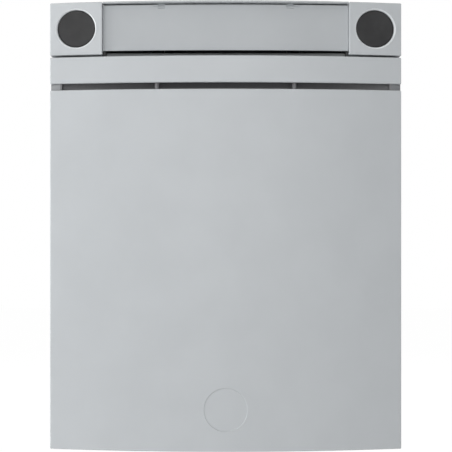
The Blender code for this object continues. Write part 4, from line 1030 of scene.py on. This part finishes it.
def make_pad(side, mats):
    """Rubber foot against the wall, with a rounded rim and a dimple over its fixing."""
    name = side_name(side)
    low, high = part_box(f"{name}_wall_pad")
    radius, length = (high.x - low.x) / 2, high.y - low.y
    at = facing((0, 1, 0), ((low.x + high.x) / 2, low.y, (low.z + high.z) / 2))
    dimple = length - 2 * MM
    profile = [(0, 0), (radius, 0), *rounded_step(radius, length, 2 * MM)]
    profile += [(6 * MM, length), (5 * MM, dimple), (0, dimple)]
    pad = turned(f"{name}_foot", profile, at, mats["rubber"], 64)
    place_piece(pad, "root", "rubber", f"{name}_wall_pad")


# --- Inside --------------------------------------------------------------------------------------
def make_module_links(mats):
    """Copper bars that join neighbouring modules, and the screws that hold them to the contact plates."""
    bars, places = [], []
    plate_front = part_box("lower_contact_plate")[0].y
    thick, half_bar, reach = 1.5 * MM, 8 * MM, 9 * MM
    near_bottom, near_top = 0.16, 0.84
    for row in range(2):
        centres = []
        for i in range(4):
            low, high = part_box(f"cell_module_{row * 4 + i + 1}")
            centres.append((low.x + high.x) / 2)
            for share in (near_bottom, near_top):
                z = low.z + (high.z - low.z) * share
                places.append(((centres[-1], plate_front - thick, z), (0, -1, 0)))
        for i in range(3):
            share = near_top if i % 2 == 0 else near_bottom
            z = low.z + (high.z - low.z) * share
            start, end = centres[i] - reach, centres[i + 1] + reach
            bars.append(((start, plate_front - thick, z - half_bar), (end, plate_front, z + half_bar)))
    links = boxes("module_links", bars, mats["copper"])
    soften(links, 0.5 * MM, segments=2)
    place_piece(links, "root", "brass")
    screw = screw_template(4.5 * MM, 2.6 * MM, 2.2 * MM)
    screws = scatter("link_screws", screw, places, mats["screw"])
    discard(screw)
    place_piece(screws, "root", "galvanised")


def make_component_tree(template):
    """Sets copies of a part on a grid, keeps a share of them and sizes them at random."""
    sizes = ("Width", "Depth", "Columns", "Rows", "Keep", "Seed", "Middle X", "Middle Y", "Middle Z")
    tree, given, result = new_geometry_tree("board_parts", (*sizes, "Material"))
    value = given.outputs
    grid = add(
        tree,
        "GeometryNodeMeshGrid",
        {
            "Size X": value["Width"],
            "Size Y": value["Depth"],
            "Vertices X": value["Columns"],
            "Vertices Y": value["Rows"],
        },
    )
    drop = add(
        tree,
        "FunctionNodeRandomValue",
        {"Probability": math_node(tree, "SUBTRACT", 1.0, value["Keep"]), "Seed": value["Seed"]},
        data_type="BOOLEAN",
    )
    kept = add(
        tree,
        "GeometryNodeDeleteGeometry",
        {"Geometry": grid.outputs["Mesh"], "Selection": drop.outputs[3]},
        domain="POINT",
    )
    sizes = {0: (0.5, 0.5, 0.4), 1: (1.3, 1.1, 1.2)}
    scale = add(tree, "FunctionNodeRandomValue", sizes, data_type="FLOAT_VECTOR")
    tree.links.new(value["Seed"], scale.inputs["Seed"])
    info = add(tree, "GeometryNodeObjectInfo", {"Object": template})
    copies = add(
        tree,
        "GeometryNodeInstanceOnPoints",
        {"Points": kept.outputs[0], "Instance": info.outputs["Geometry"], "Scale": scale.outputs[0]},
    )
    inputs = {"Geometry": copies.outputs[0], "Translation": middle_point(tree, value)}
    placed = add(tree, "GeometryNodeTransform", inputs)
    return end_tree(tree, given, result, placed.outputs[0])


def make_board_parts(mats):
    """Two bands of small chips and a row of capacitors on the board."""
    low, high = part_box("battery_board")
    surface = high.z - 4 * MM
    middle_y = (low.y + high.y) / 2
    chip = box("chip", (-2.4 * MM, -1.8 * MM, 0), (2.4 * MM, 1.8 * MM, 1.8 * MM))
    soften(chip, 0.2 * MM, segments=1)
    tree = make_component_tree(chip)
    for name, way, seed in (("front_chips", -1, 3.0), ("back_chips", 1, 8.0)):
        chips = new_object(name, bpy.data.meshes.new(name))
        run_tree(
            chips,
            tree,
            **{"Width": 126 * MM, "Depth": 18 * MM, "Columns": 16.0, "Rows": 4.0, "Keep": 0.7, "Seed": seed},
            **{"Middle X": 0.0, "Middle Y": middle_y + way * 27 * MM, "Middle Z": surface},
            Material=mats["dark"],
        )
        place_piece(chips, "root", "dark_plastic")
    discard(chip)
    radius, height = 4 * MM, 10 * MM
    profile = [(0, 0), (radius, 0), *rounded_step(radius, height, 0.6 * MM), (0, height)]
    can = turned("can", profile, Matrix(), segments=32)
    places = [((x * MM, middle_y, surface), (0, 0, 1)) for x in (-12, -2, 8)]
    cans = scatter("board_capacitors", can, places, mats["spring"])
    discard(can)
    place_piece(cans, "root", "spring_steel")


def make_contactor(mats):
    """Contactor's grooved body, with a nut and stud for each of its two cables."""
    low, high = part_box("main_contactor")
    body = box("contactor_body", low, high)
    soften(body, 2 * MM, segments=4)
    middle = (low + high) / 2
    inset = 0.6 * MM
    near, far = low.y + 8 * MM, high.y - 8 * MM
    width = 2 * MM
    grooves = []
    for i in range(5):
        z = low.z + 10 * MM + 6 * MM * i
        grooves.append(((low.x - MM, near, z), (low.x + inset, far, z + width)))
        grooves.append(((high.x - inset, near, z), (high.x + MM, far, z + width)))
    boolean(body, boxes("grooves", grooves))
    repaint(body, mats["dark"])
    soften(body)
    place_piece(body, "root", "dark_plastic", "main_contactor")
    nut = turned("stud_nut", rod_profile(4.6 * MM, -0.2 * MM, 3.2 * MM), Matrix(), segments=6)
    radius, length, chamfer = 2.5 * MM, 6 * MM, 0.5 * MM
    profile = [(0, 0), (radius, 0), (radius, length - 0.6 * MM), (radius - chamfer, length), (0, length)]
    stud = turned("stud", profile, Matrix(), segments=24)
    boolean(nut, stud, "UNION")
    places = [((middle.x, middle.y + way * 15 * MM, high.z), (0, 0, 1)) for way in (-1, 1)]
    nuts = scatter("contactor_studs", nut, places, mats["brass"])
    discard(nut)
    place_piece(nuts, "root", "brass")


def make_fuse(mats):
    """Ceramic fuse tube with a turned brass cap at each end."""
    low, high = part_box("main_fuse")
    half, radius = (high.y - low.y) / 2, (high.z - low.z) / 2
    at = facing((0, 1, 0), (low + high) / 2)
    cap = 12 * MM
    tube = [(0, cap - half), *((r, -h) for r, h in reversed(rounded_step(radius, half - cap, MM)))]
    tube += [*rounded_step(radius, half - cap, MM), (0, half - cap)]
    fuse = turned("fuse_tube", tube, at, mats["fuse_body"], 64)
    place_piece(fuse, "root", "cable_red", "main_fuse")
    rim = 9 * MM
    bm = bmesh.new()
    for way in (-1, 1):
        end = at @ Matrix.Rotation(math.pi / 2 * (1 - way), 4, "X")
        profile = [(0, half - cap - MM), (rim, half - cap - MM), *rounded_step(rim, half, MM), (0, half)]
        add_turned(bm, profile, end, 48)
    caps = make_object("fuse_caps", bm, mats["brass"])
    place_piece(caps, "root", "brass")


def make_bay_details(mats):
    """Screws on the terminal block and gilt contacts in the data sockets."""
    low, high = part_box("terminal_block")
    screw = screw_template(2.4 * MM, 0.9 * MM, 1.2 * MM)
    xs = [(low.x + high.x) / 2 + (i - 2.5) * 11 * MM for i in range(6)]
    middle_y = (low.y + high.y) / 2
    places = [((x, middle_y, high.z), (0, 0, 1)) for x in xs]
    places += [((x, low.y, high.z - 5 * MM), (0, -1, 0)) for x in xs]
    screws = scatter("terminal_screws", screw, places, mats["screw"])
    discard(screw)
    place_piece(screws, "root", "galvanised")
    contact = box("contact", (-0.25 * MM, -3 * MM, -0.3 * MM), (0.25 * MM, 3 * MM, 0.3 * MM))
    places = []
    for side in (-1, 1):
        low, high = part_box(f"{side_name(side)}_data_socket")
        middle = (low + high) / 2
        for i in range(8):
            x = middle.x + (i - 3.5) * 1.2 * MM
            places.append(((x, middle.y + 3 * MM, low.z + 2.8 * MM), (0, 0, 1)))
    contacts = scatter("data_contacts", contact, places, mats["brass"])
    discard(contact)
    place_piece(contacts, "root", "brass")


# --- Connector blocks ----------------------------------------------------------------------------
def bore_frame(side):
    """Frame on the front at a block's middle, with +Z square out of the bowed face."""
    low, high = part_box(f"{side_name(side)}_connector_shell")
    x = (low.x + high.x) / 2
    outward = (x / FRONT_RADIUS, -math.sqrt(1 - (x / FRONT_RADIUS) ** 2), 0)
    return facing(outward, (x, front_y(x), (low.z + high.z) / 2))


def bowed_outline(x_low, x_high, back, steps, inset=0.0):
    """Plan outline with the bowed front, or a face inset behind it, and a straight back."""
    xs = [x_low + (x_high - x_low) * i / steps for i in range(steps + 1)]
    return [(x, front_y(x, inset)) for x in xs] + [(x_high, back), (x_low, back)]


def make_connector(side, mats):
    """Corner block: bowed front, chamfered bore with its barrel, and a hollow back."""
    name = side_name(side)
    low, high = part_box(f"{name}_connector_shell")
    steps = 20
    outline = bowed_outline(low.x, high.x, high.y, steps)
    shell = prism(f"{name}_block", outline, "z", low.z, high.z, mats["front"])
    round_edges(shell, MM, segments=4)
    wall = BARREL_WALL
    hollow = bowed_outline(low.x + wall, high.x - wall, high.y + wall, steps, inset=4 * MM)
    boolean(shell, prism("hollow", hollow, "z", low.z + wall, high.z - wall))
    at = bore_frame(side) @ Matrix.Diagonal((BORE_WIDEN, 1.0, 1.0, 1.0))
    depth = BARREL_DEPTH
    tube = rod_profile(BORE_RADIUS + wall, -depth - wall, -2 * MM)
    boolean(shell, turned("barrel", tube, at, mats["front"], 96), "UNION")
    lip, stem_hole = 1.3 * MM, 4.4 * MM
    profile = [(0, -depth - 2 * wall), (stem_hole, -depth - 2 * wall), (stem_hole, -depth)]
    profile += [(BORE_RADIUS, -depth)]
    profile += [(BORE_RADIUS, -lip), (BORE_RADIUS + 0.85 * lip, -0.15 * lip), (BORE_RADIUS + 1.1 * lip, 0)]
    profile += [(BORE_RADIUS + 1.4 * lip, lip), (0, lip)]
    boolean(shell, turned("bore", profile, at, segments=96))
    soften(shell)
    place_piece(shell, f"{name}_connector", "front_plastic", f"{name}_connector_shell")
    # This ring is a thin shell laid just over the chamfer in the paler grey: a painted highlight on the
    # chamfer.
    ring = [(BORE_RADIUS + 0.1 * MM, -0.9 * lip), (BORE_RADIUS + 0.85 * lip, -0.12 * lip)]
    ring += [(BORE_RADIUS + 1.15 * lip, 0.03 * MM), (BORE_RADIUS + 1.3 * lip, 0.03 * MM)]
    ring += [(BORE_RADIUS + 1.3 * lip, -0.4 * lip), (BORE_RADIUS + 0.1 * MM, -1.3 * lip), ring[0]]
    bm = bmesh.new()
    add_turned(bm, ring, at, 96)
    bmesh.ops.remove_doubles(bm, verts=bm.verts, dist=0.001 * MM)
    chamfer = make_object(f"{name}_bore_chamfer", bm, mats["ring"])
    place_piece(chamfer, f"{name}_connector", "front_plastic")
    make_button(side, at, mats)
    make_contacts(side, mats)


def make_button(side, at, mats):
    """Round button: dished face, rounded rim, a well for the spring, and a stem through the barrel."""
    name = side_name(side)
    rim = BORE_RADIUS - 0.4 * MM
    face = -2 * MM
    back = face - 6 * MM
    well = back + 4.2 * MM
    well_inner, well_outer = 6.3 * MM, 8.7 * MM
    barb = -BARREL_DEPTH - BARREL_WALL - 0.3 * MM
    tip = barb - 2.5 * MM
    stem, edge = 4 * MM, 0.9 * MM
    profile = [(0, tip), (4.5 * MM, tip), (5.5 * MM, barb), (stem, barb), (stem, back)]
    profile += [(well_inner, back), (well_inner, well), (well_outer, well), (well_outer, back)]
    profile += [(rim, back), *rounded_step(rim, face, edge)]
    dish = 0.3 * MM
    shoulder = rim - edge
    steps = 14
    for i in range(1, steps + 1):
        share = 1 - i / steps
        profile.append((shoulder * share, face - dish * (1 - share**2)))
    button = turned(f"{name}_button", profile, at, mats["button"], 96)
    place_piece(button, f"{name}_button", "button_plastic", f"{name}_release_button")
    seat = bore_frame(side) @ Matrix.Translation((0, 0, SEAT_GAP - BARREL_DEPTH))
    spring = coil(f"{name}_spring", seat, mats["spring"])
    place_piece(spring, f"{name}_connector", "spring_steel", f"{name}_button_spring")


def make_contacts(side, mats):
    """Two turned pins with a groove and a bullet nose at the back of the block."""
    name = side_name(side)
    for number in (1, 2):
        low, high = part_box(f"{name}_contact_pin_{number}")
        radius, length = (high.x - low.x) / 2, high.y - low.y
        profile = [(0, 0), (radius, 0), (radius, length - 2.2 * radius)]
        profile += [(0.85 * radius, length - 2.1 * radius), (0.85 * radius, length - 1.7 * radius)]
        profile += [(radius, length - 1.6 * radius), (radius, length - 0.9 * radius)]
        for a in (0.4, 0.8, 1.2):
            profile.append((radius * math.cos(a), length - 0.9 * radius * (1 - math.sin(a))))
        profile.append((0, length))
        at = facing((0, 1, 0), ((low.x + high.x) / 2, low.y, (low.z + high.z) / 2))
        pin = turned(f"{name}_pin_{number}", profile, at, mats["brass"], 48)
        place_piece(pin, f"{name}_connector", "brass", f"{name}_contact_pin_{number}")


def coil(name, at, material, radius=7.5 * MM, wire=0.7 * MM, length=10 * MM, turns=3.5):
    """Round wire wound about the frame's own Z."""
    per_turn, sides = 40, 12
    count = round(turns * per_turn)
    rise = (length - 2 * wire) / count
    bm = bmesh.new()
    rings = []
    for i in range(count + 1):
        angle = 2 * math.pi * i / per_turn
        out = Vector((math.cos(angle), math.sin(angle), 0))
        middle = out * radius + Vector((0, 0, wire + rise * i))
        ring = []
        for k in range(sides):
            turn = 2 * math.pi * k / sides
            point = middle + out * wire * math.cos(turn) + Vector((0, 0, wire * math.sin(turn)))
            ring.append(bm.verts.new(at @ point))
        rings.append(ring)
    for lower, upper in zip(rings, rings[1:]):
        for k in range(sides):
            m = (k + 1) % sides
            bm.faces.new((lower[k], lower[m], upper[m], upper[k]))
    bm.faces.new(rings[0])
    bm.faces.new(reversed(rings[-1]))
    return make_object(name, bm, material)


# --- Stage, camera and light ---------------------------------------------------------------------
CAMERA_DISTANCE = 1.22  # in front of the bowed front's middle
CAMERA_LENS = 88.85  # mm, on a 36 mm sensor
AMBIENT = 0.15  # share of the white surround that diffuse light gets
FLOOR_DROP = 0.30  # below the unit
FLOOR_GLOW = 1.025
FLOOR_SHARE = 0.96  # share of the glow in what bright rays see of the floor


def bright_rays(tree):
    """1 for rays that the camera sends, or that metal and glass send on; 0 for diffuse light."""
    paths = add(tree, "ShaderNodeLightPath").outputs
    seen = math_node(tree, "MAXIMUM", paths["Is Camera Ray"], paths["Is Glossy Ray"])
    return math_node(tree, "MAXIMUM", seen, paths["Is Transmission Ray"])


def show_white_to_camera(material, colour):
    """A surface that keeps its shadow but shows white to the camera, to metal and through glass."""
    tree = material.node_tree
    output = tree.nodes["Material Output"]
    shader = tree.nodes["Principled BSDF"]
    glow = add(tree, "ShaderNodeEmission", {"Color": hex_colour(colour), "Strength": FLOOR_GLOW})
    share = math_node(tree, "MULTIPLY", bright_rays(tree), FLOOR_SHARE)
    mixed = add(tree, "ShaderNodeMixShader", {0: share, 1: shader.outputs[0], 2: glow.outputs[0]})
    tree.links.new(mixed.outputs[0], output.inputs["Surface"])


def make_stage():
    """Pale floor some way below the unit, and a plain white surround."""
    size = 6.0
    floor_z = COVER_LOW.z - FLOOR_DROP
    bm = bmesh.new()
    place = Matrix.Translation((0, 0, floor_z))
    bmesh.ops.create_grid(bm, x_segments=1, y_segments=1, size=size, matrix=place)
    pale, *_ = new_material("pale_floor_paint", "#f4f4f4", 0.9)
    show_white_to_camera(pale, "#ffffff")
    floor = make_object("floor", bm, pale)
    world = bpy.data.worlds.new("soft_room")
    bpy.context.scene.world = world
    world.use_nodes = True
    tree = world.node_tree
    background = tree.nodes["Background"]
    background.inputs["Color"].default_value = hex_colour("#ffffff")
    lift = math_node(tree, "MULTIPLY", bright_rays(tree), 1.0 - AMBIENT)
    tree.links.new(math_node(tree, "ADD", lift, AMBIENT), background.inputs["Strength"])


def add_lamp(name, place, target, size, power):
    """A rectangular soft box at place that faces target."""
    lamp = bpy.data.lights.new(name, "AREA")
    lamp.shape = "RECTANGLE"
    lamp.size, lamp.size_y = size
    lamp.energy = power
    obj = new_object(name, lamp)
    obj.location = place
    obj.rotation_euler = (Vector(target) - Vector(place)).to_track_quat("-Z", "Y").to_euler()


# Each lamp: direction from the unit as azimuth (left is negative) and elevation, distance, size, power.
LAMPS = {
    "key_left": (-40, 24, 3.2, 1.6, 20.5),
    "side_left": (-82, 5, 2.6, 1.6, 38),
    "front": (0, 10, 3.2, 1.6, 22.6),
    "top": (12, 62, 2.6, 0.9, 6),
    "overhead": (8, 84, 2.6, 1.6, 11),
    "fill_right": (40, 40, 3.2, 1.6, 1.5),
    "side_right": (112, 18, 3.0, 1.6, 22),
    "behind": (180, 25, 3.2, 1.6, 26),
}


def make_lights():
    """Large soft boxes that all face the middle of the unit."""
    middle = Vector((0, APEX_Y, (COVER_LOW.z + LID_HIGH.z) / 2))
    for name, (azimuth, elevation, distance, size, power) in LAMPS.items():
        turn, tilt = math.radians(azimuth), math.radians(elevation)
        level = math.cos(tilt)
        away = Vector((math.sin(turn) * level, -math.cos(turn) * level, math.sin(tilt)))
        add_lamp(name, middle + away * distance, middle, (size, size), power)


def make_camera():
    """Level camera at the unit's mid-height, straight in front."""
    scene = bpy.context.scene
    data = bpy.data.cameras.new("camera")
    data.lens = CAMERA_LENS
    data.sensor_width = 36
    data.clip_start, data.clip_end = 0.05, 50
    camera = new_object("camera", data)
    middle_z = (COVER_LOW.z + LID_HIGH.z) / 2
    sideways, rise = 0.35 * MM, 0.1 * MM
    camera.location = (sideways, APEX_Y - CAMERA_DISTANCE, middle_z + rise)
    camera.rotation_euler = (math.pi / 2, 0, 0)
    scene.camera = camera
    scene.view_settings.view_transform = "Standard"


# --- CAD nodes that keep their shape -------------------------------------------------------------
def coat(mats, finish, *nodes):
    """Gives carried-over CAD nodes a finish."""
    for name in nodes:
        repaint(frame["nodes"][name], mats[finish])


def coat_cad_nodes(mats):
    """Finishes for the nodes that no finer piece stands for."""
    coat(mats, "dark", "upper_deck", "terminal_block", "cell_tray")
    coat(mats, "dark", "lower_contact_plate", "upper_contact_plate")
    coat(mats, "rubber", "cover_gasket", "row_spacer")
    coat(mats, "zinc", "electronics_tray", "lower_strap", "upper_strap")
    coat(mats, "film", *(f"cell_module_{i}" for i in range(1, 9)))
    coat(mats, "board", "battery_board")
    coat(mats, "red_sheath", "positive_cable")
    coat(mats, "black_sheath", "negative_cable")
    for side in ("left", "right"):
        coat(mats, "dark", f"{side}_connector_core", f"{side}_socket_insert", f"{side}_data_socket")
        coat(mats, "spring", f"{side}_lower_cover_clip", f"{side}_upper_cover_clip")
        coat(mats, "zinc", f"{side}_end_plate")


def main():
    mats = make_materials()
    bow_tree = make_bow_tree()
    make_camera()
    make_stage()
    make_lights()
    coat_cad_nodes(mats)
    make_cover(mats, bow_tree)
    make_fascia(mats, bow_tree)
    make_vent_grille(mats)
    make_flap(mats, bow_tree)
    make_flap_rest(mats)
    make_lid(mats)
    make_case(mats)
    make_rails(mats)
    make_module_links(mats)
    make_board_parts(mats)
    make_contactor(mats)
    make_fuse(mats)
    make_bay_details(mats)
    for side in (-1, 1):
        make_pad(side, mats)
        make_hinge(side, mats)
        make_connector(side, mats)


main()
